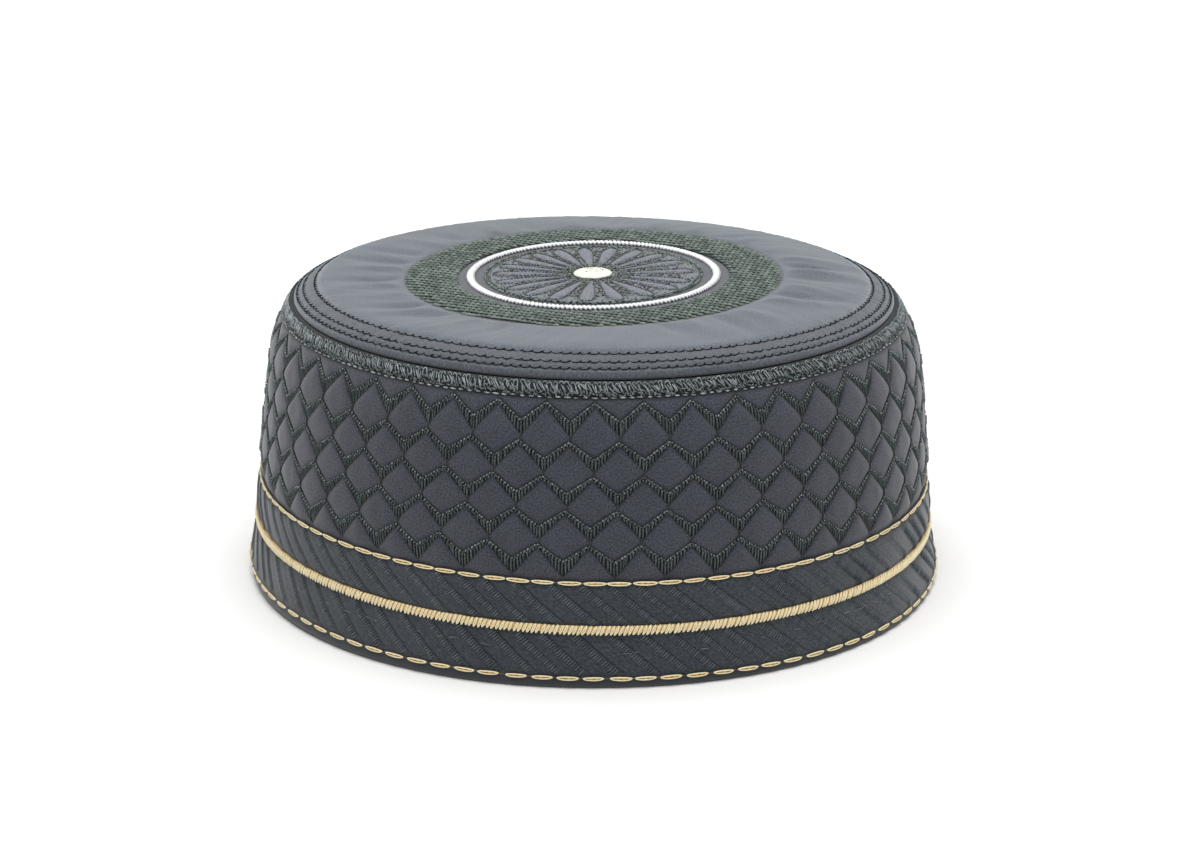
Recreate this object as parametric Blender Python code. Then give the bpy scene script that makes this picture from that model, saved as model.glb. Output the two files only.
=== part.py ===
"""A kufi: a stiff round cloth cap with a quilted wall, a ribbed band and a gathered crown.

Metres, +Z up. The rim rests on z = 0, the cap's axis is +Z and its front faces -Y.
Angles run from the front (-Y) towards +X. Sizes below are in millimetres unless they say otherwise.
"""
import math

import bmesh
import bpy
import numpy as np

MM = 0.001

# Shared sizes
GAP = 0.3
THREAD = 0.75
RING_COLUMNS = 48

# Ribbed band at the bottom of the cap
BAND_TOP = 26.3
HEM_FLAT_INNER = 91.9
HEM_FLAT_OUTER = 93.5
RIB_COUNT = 75
RIB_RELIEF = 0.55
RIB_SHEAR_DEG_PER_MM = -0.76
RIB_SHEAR_AT = 14.5

# Quilted wall
DIAMONDS_ROUND = 45
WALL_BOTTOM = 26.8
WALL_TOP = 73.7
BRAID_LEDGE = 70.1
RIBBON_PEAKS = (69.8, 60.8, 52.4, 44.5, 36.0, 27.8)
RIBBON_THICKNESS = 1.5
RIBBON_DROP = 4.3
QUILT_DEPTH = 0.9
PLATEAU = 0.55

# Outside of the puffed wall: height, radius
WALL_PROFILE = (
    (26.8, 90.0),
    (29.0, 90.5),
    (33.0, 90.4),
    (40.0, 89.6),
    (47.0, 88.7),
    (54.0, 88.0),
    (61.0, 86.9),
    (65.5, 85.7),
    (70.1, 83.6),
)

# Crown: radius, height, share of the gathers that reaches this row
CROWN_OUTSIDE = (
    (80.3, 73.95, 0.0),
    (81.15, 74.45, 0.0),
    (80.8, 75.15, 0.0),
    (79.5, 75.7, 0.0),
    (77.3, 76.7, 0.0),
    (75.9, 77.5, 0.0),
    (74.4, 77.65, 0.0),
    (72.4, 78.4, 0.3),
    (66.0, 79.15, 1.0),
    (60.0, 79.45, 1.0),
    (55.0, 79.55, 1.0),
    (52.0, 79.45, 0.6),
    (51.0, 79.05, 0.0),
)
CROWN_INSIDE = (
    (51.0, 77.3),
    (66.0, 77.2),
    (74.5, 75.9),
    (78.9, 73.95),
)
CROWN_COLUMNS = 84

# Gathers that run out from the medallion: angle, half width, height, reach
GATHERS = (
    (6, 4.0, 0.35, 10), (19, 3.0, -0.45, 9), (26, 3.0, 0.45, 12), (36, 3.0, -0.50, 13),
    (43, 3.0, 0.45, 14), (57, 3.0, 0.50, 15), (65, 3.0, -0.55, 18), (73, 3.0, 0.40, 14),
    (84, 3.0, -0.45, 18), (90, 2.8, 0.60, 20), (96, 2.8, -0.60, 20), (104, 3.0, 0.45, 14),
    (115, 3.5, 0.35, 12), (128, 3.0, 0.45, 14), (137, 3.0, -0.50, 16), (147, 3.5, 0.40, 13),
    (161, 4.0, 0.35, 12), (174, 3.5, -0.35, 12), (186, 4.0, 0.40, 12), (199, 3.5, -0.40, 12),
    (211, 3.5, 0.45, 14), (222, 3.0, -0.45, 14), (233, 3.0, 0.45, 14), (245, 3.0, -0.40, 16),
    (255, 3.0, -0.55, 18), (262, 3.0, 0.45, 18), (273, 3.0, -0.50, 20), (280, 3.0, 0.45, 16),
    (291, 3.0, 0.40, 14), (303, 3.0, -0.55, 16), (310, 3.0, 0.45, 14), (316, 3.0, -0.50, 13),
    (326, 3.0, 0.40, 12), (335, 3.0, -0.40, 9), (347, 4.0, 0.35, 9),
)

# Medallion on the crown: inner and outer radius of each embroidered ring
MEDALLION_EDGE = 51.0
SEAT_HEIGHT = 79.05
GREEN_RING = (36.6, 50.6)
WHITE_RING = (31.9, 34.1)
ROPE_RING = (27.9, 29.7)
# Angle of each hand-sewn petal in degrees, from the front towards the right
PETAL_ANGLES = (
    -4.5, 14.0, 34.0, 53.5, 71.0, 93.5, 116.0, 136.0, 152.0, 169.0,
    186.0, 202.5, 218.0, 233.0, 250.0, 268.0, 287.0, 303.0, 319.5, 336.5,
)
PETAL_RELIEF = 0.55
BUTTON_RADIUS = 5.35

# Gold lines: mean radius, height, thread height up the wall
GOLD_UPPER = (90.5, 26.65, 1.8)
GOLD_MIDDLE = (92.1, 14.5, 2.3)
GOLD_LOWER = (94.95, 3.26, 1.7)

# Small unevenness of the worn shape: height, sideways slope, front slope, shift in x, shift in y
LEAN = (
    (0.0, 0.000, 0.000, 0.0, 0.0),
    (3.0, -0.010, 0.000, 0.0, 0.0),
    (14.0, -0.014, 0.000, 0.0, 0.0),
    (27.0, -0.014, 0.000, -0.1, 0.0),
    (45.0, -0.011, -0.002, -0.3, -0.1),
    (66.0, -0.007, -0.006, -0.7, -0.3),
    (75.0, -0.005, -0.008, -0.9, -0.5),
    (90.0, -0.005, -0.008, -0.9, -0.5),
)
MEDALLION_SLOPE = 0.017

# Colours (linear) and roughness
LOOKS = {
    "wall_cloth": ((0.062, 0.063, 0.080), 0.85),
    "crown_cloth": ((0.066, 0.068, 0.084), 0.85),
    "band_cloth": ((0.042, 0.050, 0.056), 0.88),
    "braid_thread": ((0.075, 0.090, 0.088), 0.70),
    "gold_chain_thread": ((0.78, 0.56, 0.24), 0.50),
    "gold_cord_thread": ((0.80, 0.60, 0.27), 0.50),
    "gold_hem_thread": ((0.76, 0.54, 0.23), 0.50),
    "green_thread": ((0.075, 0.115, 0.080), 0.70),
    "white_thread": ((0.82, 0.84, 0.85), 0.55),
    "rope_thread": ((0.035, 0.050, 0.042), 0.75),
    "rosette_cloth": ((0.080, 0.082, 0.098), 0.85),
    "button_cream": ((0.84, 0.86, 0.72), 0.45),
}


def clear_scene():
    for ob in list(bpy.data.objects):
        bpy.data.objects.remove(ob, do_unlink=True)


def ramp(value, low, high):
    """Smooth step from 0 at low to 1 at high."""
    t = min(1.0, max(0.0, (value - low) / (high - low)))
    return t * t * (3.0 - 2.0 * t)


def place(radius, deg, height):
    """A point given by radius, angle and height, with the cap's slight lean, in metres."""
    a = math.radians(deg)
    x = radius * math.sin(a)
    y = -radius * math.cos(a)
    levels = [row[0] for row in LEAN]
    slope_x, slope_y, shift_x, shift_y = (
        float(np.interp(height, levels, [row[i] for row in LEAN])) for i in range(1, 5))
    slope_x += MEDALLION_SLOPE * ramp(height, 70.0, 76.0) * (1.0 - ramp(radius, 50.6, 73.0))
    lifted = height + slope_x * x + slope_y * y
    return ((x + shift_x) * MM, (y + shift_y) * MM, lifted * MM)


def material(name):
    colour, rough = LOOKS[name]
    mat = bpy.data.materials.new(name)
    mat.use_nodes = True
    shader = mat.node_tree.nodes["Principled BSDF"]
    shader.inputs["Base Color"].default_value = (*colour, 1.0)
    shader.inputs["Roughness"].default_value = rough
    shader.inputs["Metallic"].default_value = 0.0
    return mat


def finish(name, bm, mat_name, parent):
    """Turn a closed bmesh into a named object with its material."""
    bmesh.ops.triangulate(bm, faces=[f for f in bm.faces if len(f.verts) > 3])
    bmesh.ops.recalc_face_normals(bm, faces=bm.faces)
    if bm.calc_volume(signed=True) < 0:
        bmesh.ops.reverse_faces(bm, faces=bm.faces)
    mesh = bpy.data.meshes.new(name)
    bm.to_mesh(mesh)
    bm.free()
    mesh.materials.append(material(mat_name))
    mesh.shade_smooth()
    mesh.set_sharp_from_angle(angle=math.radians(40))
    ob = bpy.data.objects.new(name, mesh)
    bpy.context.collection.objects.link(ob)
    ob.parent = parent
    return ob


def add_row(bm, columns, radius, height, turn=0.0, relief=None):
    """A ring of points; relief(index) is added to the radius."""
    step = 360.0 / columns
    row = []
    for i in range(columns):
        extra = relief(i) if relief else 0.0
        row.append(bm.verts.new(place(radius + extra, i * step + turn, height)))
    return row


def join_rows(bm, fine, coarse):
    """Skin two rows of points. The second may hold as many, half as many, or one point."""
    if len(fine) < len(coarse):
        fine, coarse = coarse, fine
    n = len(fine)
    m = len(coarse)
    if m == 1:
        for i in range(n):
            bm.faces.new((fine[i], fine[(i + 1) % n], coarse[0]))
        return
    if m == n:
        for i in range(n):
            k = (i + 1) % n
            bm.faces.new((fine[i], fine[k], coarse[k], coarse[i]))
        return
    for j in range(m):
        k = (j + 1) % m
        a, b, c = fine[2 * j], fine[2 * j + 1], fine[(2 * j + 2) % n]
        bm.faces.new((coarse[j], a, b))
        bm.faces.new((coarse[j], b, coarse[k]))
        bm.faces.new((coarse[k], b, c))


def join_all(bm, rows):
    for upper, lower in zip(rows, rows[1:]):
        join_rows(bm, upper, lower)


def ring(name, section, columns, mat_name, parent):
    """A closed ring whose section is a loop of (radius, height) corners."""
    bm = bmesh.new()
    rows = [add_row(bm, columns, r, z) for r, z in section]
    join_all(bm, rows + rows[:1])
    return finish(name, bm, mat_name, parent)


def ribbed_band(parent):
    """The band: a folded hem on z = 0, slanting ribs above it and three stitched-down lines."""
    bm = bmesh.new()
    fine = RIB_COUNT * 2

    def turn(height):
        return (height - RIB_SHEAR_AT) * RIB_SHEAR_DEG_PER_MM

    def rib(share):
        return lambda i: RIB_RELIEF * share * (0.5 if i % 2 == 0 else -0.5)

    rows = [
        add_row(bm, RIB_COUNT, HEM_FLAT_INNER, 0.0, turn(0.0)),
        add_row(bm, RIB_COUNT, HEM_FLAT_OUTER, 0.0, turn(0.0)),
        add_row(bm, RIB_COUNT, 94.55, 1.0, turn(1.0)),
        add_row(bm, RIB_COUNT, 94.05, 3.3, turn(3.3)),
        add_row(bm, fine, 94.0, 5.0, turn(5.0), rib(0.8)),
        add_row(bm, fine, 92.95, 9.0, turn(9.0), rib(1.0)),
        add_row(bm, fine, 91.0, 14.5, turn(14.5), rib(0.3)),
        add_row(bm, fine, 91.6, 20.5, turn(20.5), rib(1.0)),
        add_row(bm, fine, 90.7, 24.4, turn(24.4), rib(0.8)),
        add_row(bm, RIB_COUNT, 89.5, BAND_TOP, turn(BAND_TOP)),
        add_row(bm, RIB_COUNT, 87.8, BAND_TOP, turn(BAND_TOP)),
        add_row(bm, RIB_COUNT, 89.4, 14.5, turn(14.5)),
    ]
    join_all(bm, rows + rows[:1])
    return finish("ribbed_band", bm, "band_cloth", parent)


def quilted_wall(parent):
    """The wall: five zigzag ribbons sewn down between puffed diamonds, on a plain inner face."""
    bm = bmesh.new()
    columns = DIAMONDS_ROUND * 2
    step = 360.0 / columns
    heights = [row[0] for row in WALL_PROFILE]
    radii = [row[1] for row in WALL_PROFILE]
    known = {}

    def point(column, height, puff):
        key = (round((column % columns) * 100), round(height * 100))
        if key not in known:
            radius = float(np.interp(height, heights, radii)) - QUILT_DEPTH * (1.0 - puff)
            known[key] = bm.verts.new(place(radius, column * step, height))
        return known[key]

    def fan(centre, loop):
        for a, b in zip(loop, loop[1:] + loop[:1]):
            bm.faces.new((centre, a, b))

    def edges(k, column):
        """Upper and lower height of ribbon k at a column."""
        if (column + k) % 2 == 0:
            return RIBBON_PEAKS[k], RIBBON_PEAKS[k] - RIBBON_THICKNESS
        return RIBBON_PEAKS[k] - RIBBON_DROP, RIBBON_PEAKS[k + 1]

    def diamond(k, column):
        """The puffed diamond that hangs from a peak of ribbon k."""
        top = RIBBON_PEAKS[k] - RIBBON_THICKNESS
        side = RIBBON_PEAKS[k + 1]
        foot = RIBBON_PEAKS[k + 1] - RIBBON_DROP
        mid = (top + foot + side) / 3.0
        corners = ((column, top), (column + 1, side), (column, foot), (column - 1, side))
        outer = [point(c, z, 0.0) for c, z in corners]
        inner = [point(column + (c - column) * PLATEAU, mid + (z - mid) * PLATEAU, 1.0)
                 for c, z in corners]
        for i in range(4):
            j = (i + 1) % 4
            bm.faces.new((outer[i], outer[j], inner[j], inner[i]))
        bm.faces.new(inner)

    ledge = [point(c, BRAID_LEDGE, 0.0) for c in range(columns)]
    foot = [point(c, WALL_BOTTOM, 0.3) for c in range(columns)]
    for c in range(columns):
        d = (c + 1) % columns
        for k in range(5):
            up, low = edges(k, c)
            up_next, low_next = edges(k, c + 1)
            bm.faces.new((point(c, up, 0.0), point(d, up_next, 0.0),
                          point(d, low_next, 0.0), point(c, low, 0.0)))
    for c in range(columns):
        for k in range(4):
            if (c + k) % 2 == 0:
                diamond(k, c)
        b, d = (c - 1) % columns, (c + 1) % columns
        if c % 2 == 1:
            loop = [ledge[b], ledge[c], ledge[d], point(d, edges(0, d)[0], 0.0),
                    point(c, edges(0, c)[0], 0.0), point(b, edges(0, b)[0], 0.0)]
            fan(point(c, 68.2, 0.9), loop)
        else:
            loop = [point(b, edges(4, b)[1], 0.0), point(c, edges(4, c)[1], 0.0),
                    point(d, edges(4, d)[1], 0.0), foot[d], foot[c], foot[b]]
            fan(point(c, 30.3, 0.9), loop)
    lip = add_row(bm, columns, 80.7, WALL_TOP)
    inside = [
        add_row(bm, DIAMONDS_ROUND, 78.8, WALL_TOP),
        add_row(bm, DIAMONDS_ROUND, 83.8, 62.0),
        add_row(bm, DIAMONDS_ROUND, 87.6, 32.0),
        add_row(bm, DIAMONDS_ROUND, 87.3, WALL_BOTTOM),
    ]
    join_all(bm, [ledge, lip] + inside + [foot])
    return finish("quilted_wall", bm, "wall_cloth", parent)


def gather_height(radius, deg):
    """Height added by the gathers, largest just outside the medallion."""
    total = 0.0
    for angle, half_width, height, reach in GATHERS:
        away = (deg - angle + 180.0) % 360.0 - 180.0
        out = max(0.0, radius - MEDALLION_EDGE)
        total += height * math.exp(-((away / half_width) ** 2) - (out / reach) ** 2)
    return total


def crown(parent):
    """The crown: a shallow cap with a rolled lip, stitched shoulder, gathers and a flat seat."""
    bm = bmesh.new()
    step = 360.0 / CROWN_COLUMNS
    rows = []
    for radius, height, share in CROWN_OUTSIDE:
        rows.append([bm.verts.new(place(radius, i * step,
                                        height + share * gather_height(radius, i * step)))
                     for i in range(CROWN_COLUMNS)])
    rows.append([bm.verts.new(place(0.0, 0.0, SEAT_HEIGHT))])
    join_all(bm, rows)
    under = [[bm.verts.new(place(0.0, 0.0, CROWN_INSIDE[0][1]))]]
    for radius, height in CROWN_INSIDE:
        under.append(add_row(bm, CROWN_COLUMNS // 2, radius, height))
    join_all(bm, under + rows[:1])
    return finish("crown", bm, "crown_cloth", parent)


def braid_band(parent):
    """The corded braid that covers the wall's upper edge, under the crown's lip."""
    section = ((83.2, 70.4), (84.0, 70.3), (82.0, 74.0), (81.3, 73.85))
    return ring("braid_band", section, RING_COLUMNS, "braid_thread", parent)


def gold_line(name, line, thickness, slant, mat_name, parent):
    """A gold line: a low ring of thread with a rounded back; slant leans it with the wall."""
    radius, height, tall = line
    half = tall / 2.0
    back = thickness / 2.0
    section = (
        (radius - back + slant, height - half),
        (radius + back + slant, height - half * 0.6),
        (radius + back - slant, height + half * 0.6),
        (radius - back - slant, height + half),
    )
    return ring(name, section, RING_COLUMNS, mat_name, parent)


def flat_ring(name, inner, outer, top, columns, mat_name, parent):
    """An embroidered ring lying on the crown's seat."""
    floor = SEAT_HEIGHT + GAP
    bevel = 0.2
    section = ((inner, floor), (inner + bevel, top), (outer - bevel, top), (outer, floor))
    return ring(name, section, columns, mat_name, parent)


def rosette(parent):
    """The rosette: raised petals around the centre, on a thin round base."""
    bm = bmesh.new()
    following = PETAL_ANGLES[1:] + (PETAL_ANGLES[0] + 360.0,)
    turns = [turn for angle, after in zip(PETAL_ANGLES, following) for turn in (angle, (angle + after) / 2.0)]
    base = SEAT_HEIGHT + GAP
    skin = base + 0.3
    levels = (
        # radius, petal height, height between petals
        (27.3, 0.0, 0.0),
        (25.0, 0.30, 0.35),
        (20.0, PETAL_RELIEF, 0.0),
        (13.0, PETAL_RELIEF * 0.8, 0.0),
        (7.0, 0.05, 0.0),
    )
    rows = [[bm.verts.new(place(0.0, 0.0, base))],
            [bm.verts.new(place(27.3, turn, base)) for turn in turns]]
    for radius, petal, between in levels:
        rows.append([bm.verts.new(place(radius, turn, skin + (between if i % 2 else petal)))
                     for i, turn in enumerate(turns)])
    rows.append([bm.verts.new(place(0.0, 0.0, skin))])
    join_all(bm, rows)
    return finish("rosette", bm, "rosette_cloth", parent)


def centre_button(parent):
    """The small domed button sewn on the middle of the rosette."""
    bm = bmesh.new()
    floor = SEAT_HEIGHT + GAP + 0.3 + 0.35
    rows = [
        [bm.verts.new(place(0.0, 0.0, floor))],
        add_row(bm, 24, BUTTON_RADIUS - 0.5, floor),
        add_row(bm, 24, BUTTON_RADIUS, floor + 0.45),
        add_row(bm, 24, BUTTON_RADIUS - 1.1, floor + 1.0),
        [bm.verts.new(place(0.0, 0.0, floor + 1.2))],
    ]
    join_all(bm, rows)
    return finish("centre_button", bm, "button_cream", parent)


def build():
    clear_scene()
    cap = bpy.data.objects.new("kufi", None)
    bpy.context.collection.objects.link(cap)
    ribbed_band(cap)
    quilted_wall(cap)
    crown(cap)
    braid_band(cap)
    gold_line("gold_chain_upper", GOLD_UPPER, THREAD, 0.0, "gold_chain_thread", cap)
    gold_line("gold_cord_middle", GOLD_MIDDLE, THREAD + 0.05, 0.1, "gold_cord_thread", cap)
    gold_line("gold_chain_lower", GOLD_LOWER, THREAD, 0.05, "gold_hem_thread", cap)
    flat_ring("green_ring", *GREEN_RING, 79.9, 48, "green_thread", cap)
    flat_ring("white_ring", *WHITE_RING, 80.05, 36, "white_thread", cap)
    flat_ring("rope_ring", *ROPE_RING, 79.9, 36, "rope_thread", cap)
    rosette(cap)
    centre_button(cap)


build()
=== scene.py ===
"""A kufi dressed around its solids: quilted cloth, satin and chain stitches, an embroidered crown."""
import math

import bpy
import numpy as np
from numpy.random import default_rng
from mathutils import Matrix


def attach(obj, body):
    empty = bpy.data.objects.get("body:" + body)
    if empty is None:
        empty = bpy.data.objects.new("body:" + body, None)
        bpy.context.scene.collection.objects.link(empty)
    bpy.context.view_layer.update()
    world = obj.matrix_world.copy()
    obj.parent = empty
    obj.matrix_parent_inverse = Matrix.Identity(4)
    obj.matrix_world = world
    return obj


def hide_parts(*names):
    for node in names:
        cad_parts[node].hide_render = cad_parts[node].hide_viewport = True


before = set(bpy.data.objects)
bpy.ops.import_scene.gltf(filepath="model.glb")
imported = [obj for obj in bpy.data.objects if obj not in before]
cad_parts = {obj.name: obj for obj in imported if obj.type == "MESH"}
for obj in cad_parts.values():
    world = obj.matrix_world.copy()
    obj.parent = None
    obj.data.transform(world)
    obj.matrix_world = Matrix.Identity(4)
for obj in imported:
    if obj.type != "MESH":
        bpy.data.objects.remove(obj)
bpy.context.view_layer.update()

# Lengths below are in mm and angles in degrees, unless a line says otherwise
MM = 0.001
UP = (0, 0, 1)
HALF_WAVE = 3.14159
WHITE = (1.0, 1.0, 1.0, 1.0)
WARM_GLINT = (1.0, 0.90, 0.66, 1.0)
COOL_GLINT = (0.90, 0.97, 1.0, 1.0)

# Small unevenness of the worn shape: height, sideways slope, front slope, shift in x, shift in y
LEAN = np.array((
    (0.0, 0.0, 0.0, -0.55, 0.0), (3.0, -0.010, 0.0055, -0.55, 0.0), (14.0, -0.014, 0.0, -0.55, 0.0),
    (22.0, -0.014, 0.0, -0.45, 0.0), (30.0, -0.013, 0.0, -0.35, 0.0), (40.0, -0.012, -0.001, -0.30, -0.1),
    (47.0, -0.011, -0.002, -0.15, -0.1), (56.0, -0.009, -0.004, -0.05, -0.2), (66.0, -0.007, -0.006, -0.15, -0.3),
    (74.5, -0.006, -0.008, -0.40, -0.5), (75.3, -0.007, -0.018, -0.40, -0.5), (76.7, -0.008, -0.0225, -0.40, -0.5),
    (77.7, -0.0095, -0.0205, -0.40, -0.5), (90.0, -0.0095, -0.0205, -0.40, -0.5),
))
# The medallion lies flatter: slope in x, slope in y, lift, shift in x, stretch in y inside the white ring
MEDALLION_LEAN = (0.0215, 0.0165, -0.06, -0.10, 0.027)

# Quilted wall: the ribbons' peaks, and the outside and inside of the cloth (height, radius)
DIAMONDS_ROUND = 45
WALL_COLUMNS = DIAMONDS_ROUND * 16
RIBBON_PEAKS = (69.6, 60.8, 52.5, 44.3, 35.9, 26.5)
RIBBON_DROP = 4.2
RIBBON_AT_PEAK = 0.75
RIBBON_DRIFT = -0.22
QUILT_DEPTH = 0.55
UNSTUFFED_BELOW = 0.8
SEAM_SHADOW = 0.36
WALL_TOP, WALL_FOOT, WALL_MEAN_RADIUS = 70.3, 26.0, 88.0
WALL_PROFILE = np.array((
    (26.0, 89.5), (28.5, 90.2), (33.0, 90.3), (40.0, 89.6), (47.0, 88.7),
    (54.0, 88.0), (61.0, 86.9), (65.5, 85.7), (70.1, 83.6), (71.0, 83.0),
))
WALL_INSIDE = np.array(((26.0, 87.4), (40.0, 86.9), (55.0, 85.3), (66.0, 82.6), (73.6, 78.9), (73.7, 80.6)))

# Ribbed band: outside of the cloth (height, radius, share of the ribs' relief), and its inside (height, radius)
RIB_COUNT = 75
RIB_PITCH = 7.6
RIB_SHEAR = -0.76
RIB_SHEAR_AT = 14.5
ROPE_MIDDLE = 0.20
ROPE_HALF = 0.22
ROPE_STITCH_PITCH = 0.42
BAND_PROFILE = np.array((
    (0.0, 92.3, 0.0), (0.15, 92.9, 0.0), (0.6, 93.3, 0.0), (1.3, 93.5, 0.0), (2.2, 93.4, 0.0),
    (3.3, 93.0, 0.1), (4.3, 93.05, 0.7), (6.0, 92.7, 1.0), (9.0, 92.15, 1.0), (12.4, 91.35, 0.9),
    (13.4, 90.95, 0.6), (14.5, 90.7, 0.3), (15.6, 90.8, 0.6), (17.0, 91.1, 1.0),
    (20.5, 90.95, 1.0), (23.8, 90.6, 0.9), (25.2, 90.1, 0.6), (26.1, 89.6, 0.2),
))
BAND_INSIDE = np.array(((26.1, 88.4), (26.0, 87.8), (14.0, 89.1), (2.0, 91.0), (0.0, 91.3)))

# Gold lines: links in a chain, and the middle cord's loops, their radius and ends, and its core (radius, height)
GOLD_LINKS = 91
CORD_LOOPS = 510
CORD_RADIUS, CORD_LOW, CORD_HIGH = 91.6, 13.4, 15.6
CORD_FLAT_STEP = 1.6
CORD_CORE = ((90.6, 13.65), (91.1, 13.6), (91.4, 14.0), (91.4, 15.0), (91.1, 15.4), (90.6, 15.35))

# Braid: mm along it a degree, its threads, its upper edge, its core's section and its face (radius, height)
BRAID_STEP = 1.45
BRAID_HOOPS, BRAID_LEGS, BRAID_NET, BRAID_FOOT = 380, 760, 2300, 236
BRAID_TOP = 73.35
BRAID_SECTION = ((82.2, 70.35), (82.8, 70.3), (82.3, 71.6), (81.5, 72.9), (80.6, 73.8), (79.9, 73.7))
BRAID_FACE = np.array(((82.8, 70.3), (82.3, 71.6), (81.5, 72.9), (80.6, 73.9)))

# Crown: radius, height, share of the gathers, share of the stitch puckers
CROWN_PROFILE = np.array((
    (78.9, 73.85, 0.0, 0.0), (79.4, 73.95, 0.0, 0.0), (79.7, 74.35, 0.0, 0.1),
    (79.7, 74.85, 0.0, 0.2), (79.4, 75.3, 0.0, 0.3), (78.7, 75.55, 0.0, 0.6),
    (78.1, 76.1, 0.0, 0.8), (77.1, 76.65, 0.0, 0.7), (75.8, 77.35, 0.0, 0.8),
    (74.1, 78.0, 0.0, 0.6), (72.6, 78.75, 0.2, 0.5), (70.0, 79.05, 0.7, 0.1),
    (66.0, 79.3, 1.0, 0.0), (60.0, 79.5, 1.0, 0.0), (55.0, 79.6, 0.75, 0.0),
    (52.8, 79.6, 0.45, 0.0), (51.4, 79.5, 0.1, 0.0), (50.3, 79.3, 0.0, 0.0),
))
CROWN_UNDER = np.array(((4.0, 77.3), (30.0, 77.3), (51.0, 77.3), (66.0, 77.1), (73.5, 75.9), (77.3, 74.3),
                        (78.6, 73.75)))
SEAT_RADII = np.array(((44.0,), (36.9,), (34.0,), (31.0,), (28.0,), (15.0,), (4.0,)))
SEAT_HEIGHT = 79.05
PAD_HEIGHT = SEAT_HEIGHT + 0.1
SHOULDER_RADIUS = 74.0
# Rows of stitches round the shoulder: radius, height, number of stitches
STITCH_ROWS = ((74.1, 78.05, 198), (77.1, 76.65, 204), (78.8, 75.65, 208))

# Gathers that run out from the medallion: angle, half width, height, reach, drift in degrees a mm
GATHER_STRENGTH = 1.8
GATHERS = (
    (6, 3.0, 0.30, 10, 0.1), (19, 2.0, -0.50, 9, 0.2), (26, 2.4, 0.50, 12, 0.1), (36, 1.9, -0.55, 13, -0.1),
    (43, 2.4, 0.50, 14, 0.1), (57, 2.2, 0.55, 15, 0.4), (65, 1.8, -0.60, 18, 0.2), (73, 2.4, 0.45, 14, 0.1),
    (84, 1.8, -0.50, 18, 0.0), (90, 1.9, 0.65, 20, 0.0), (96, 1.7, -0.65, 20, 0.0), (104, 2.4, 0.50, 14, -0.1),
    (115, 3.0, 0.35, 12, 0.1), (128, 2.4, 0.45, 14, 0.2), (137, 1.9, -0.55, 16, -0.2), (147, 2.6, 0.45, 13, 0.1),
    (161, 3.0, 0.35, 12, 0.0), (174, 2.6, -0.35, 12, 0.1), (186, 3.0, 0.40, 12, 0.0), (199, 2.4, -0.45, 12, 0.1),
    (211, 2.4, 0.50, 14, -0.1), (222, 2.0, -0.50, 14, 0.2), (233, 2.2, 0.50, 14, 0.0), (245, 2.0, -0.45, 16, 0.1),
    (255, 1.8, -0.60, 18, 0.0), (262, 2.0, 0.50, 18, 0.1), (273, 1.8, -0.55, 20, 0.2), (280, 2.2, 0.50, 16, 0.2),
    (291, 2.4, 0.40, 14, 0.0), (303, 1.9, -0.60, 16, -0.1), (310, 2.2, 0.50, 14, -0.2),
    (316, 1.9, -0.55, 13, -0.3), (326, 2.4, 0.45, 12, -0.1), (335, 2.0, -0.45, 9, 0.1), (347, 3.0, 0.30, 9, 0.0),
)

# Medallion: the angles of the petals, and a petal's half width by radius
PETAL_ANGLES = np.array((
    -4.5, 14.0, 34.0, 53.5, 71.0, 93.5, 116.0, 136.0, 152.0, 169.0,
    186.0, 202.5, 218.0, 233.0, 250.0, 268.0, 287.0, 303.0, 319.5, 336.5,
))
PETAL_SHAPE = np.array((
    (6.5, 0.30), (10.0, 0.58), (14.0, 0.95), (18.0, 1.32), (21.5, 1.62), (24.0, 1.50), (25.8, 1.00), (26.6, 0.0),
))
WHITE_STITCHES, ROPE_STITCHES, PETAL_STITCHES, LOOSE_SEEDS, CLOSE_SEEDS = 176, 104, 46, 3000, 380
BUTTON_PROFILE = np.array(((4.4, 0.0), (5.05, 0.2), (5.0, 0.5), (4.2, 0.85), (2.4, 1.08), (0.9, 1.1), (0.35, 1.0)))

# Surroundings: the camera's lens by its focal length in the photo's pixels, and its place in metres
PHOTO_WIDTH = 1184.0
FOCAL_PIXELS = 2792.0
SENSOR_WIDTH = 36.0
CAMERA_PLACE = (-0.00094, -0.720, 0.274)
CAMERA_DIP = 18.37


# Shapes


def ramp(value, low, high):
    """A smooth step from 0 at low to 1 at high."""
    t = np.clip((np.asarray(value, float) - low) / (high - low), 0.0, 1.0)
    return t * t * (3.0 - 2.0 * t)


def place(radius, deg, height):
    """Points given by radius, angle and height, with the cap's slight lean and its squarish hem, in metres."""
    radius, deg, height = np.broadcast_arrays(*(np.asarray(v, float) for v in (radius, deg, height)))
    side, ahead = np.sin(np.radians(deg)), np.cos(np.radians(deg))
    wide = radius + (0.85 + 0.5 * side) * (2.0 * side * ahead) ** 2 * (1.0 - ramp(height, 3.0, 16.0))
    top = ramp(height, 70.0, 76.0)
    medal = top * (1.0 - ramp(radius, 50.6, 73.0))
    x = wide * side
    y = -wide * ahead * (1.0 + MEDALLION_LEAN[4] * top * (1.0 - ramp(radius, 33.9, 36.1)))
    slope_x, slope_y, shift_x, shift_y = (np.interp(height, LEAN[:, 0], LEAN[:, i]) for i in range(1, 5))
    z = height + (slope_x + MEDALLION_LEAN[0] * medal) * x + (slope_y + MEDALLION_LEAN[1] * medal) * y
    return np.stack((x + shift_x + MEDALLION_LEAN[3] * medal, y + shift_y, z + MEDALLION_LEAN[2] * medal), -1) * MM


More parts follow.
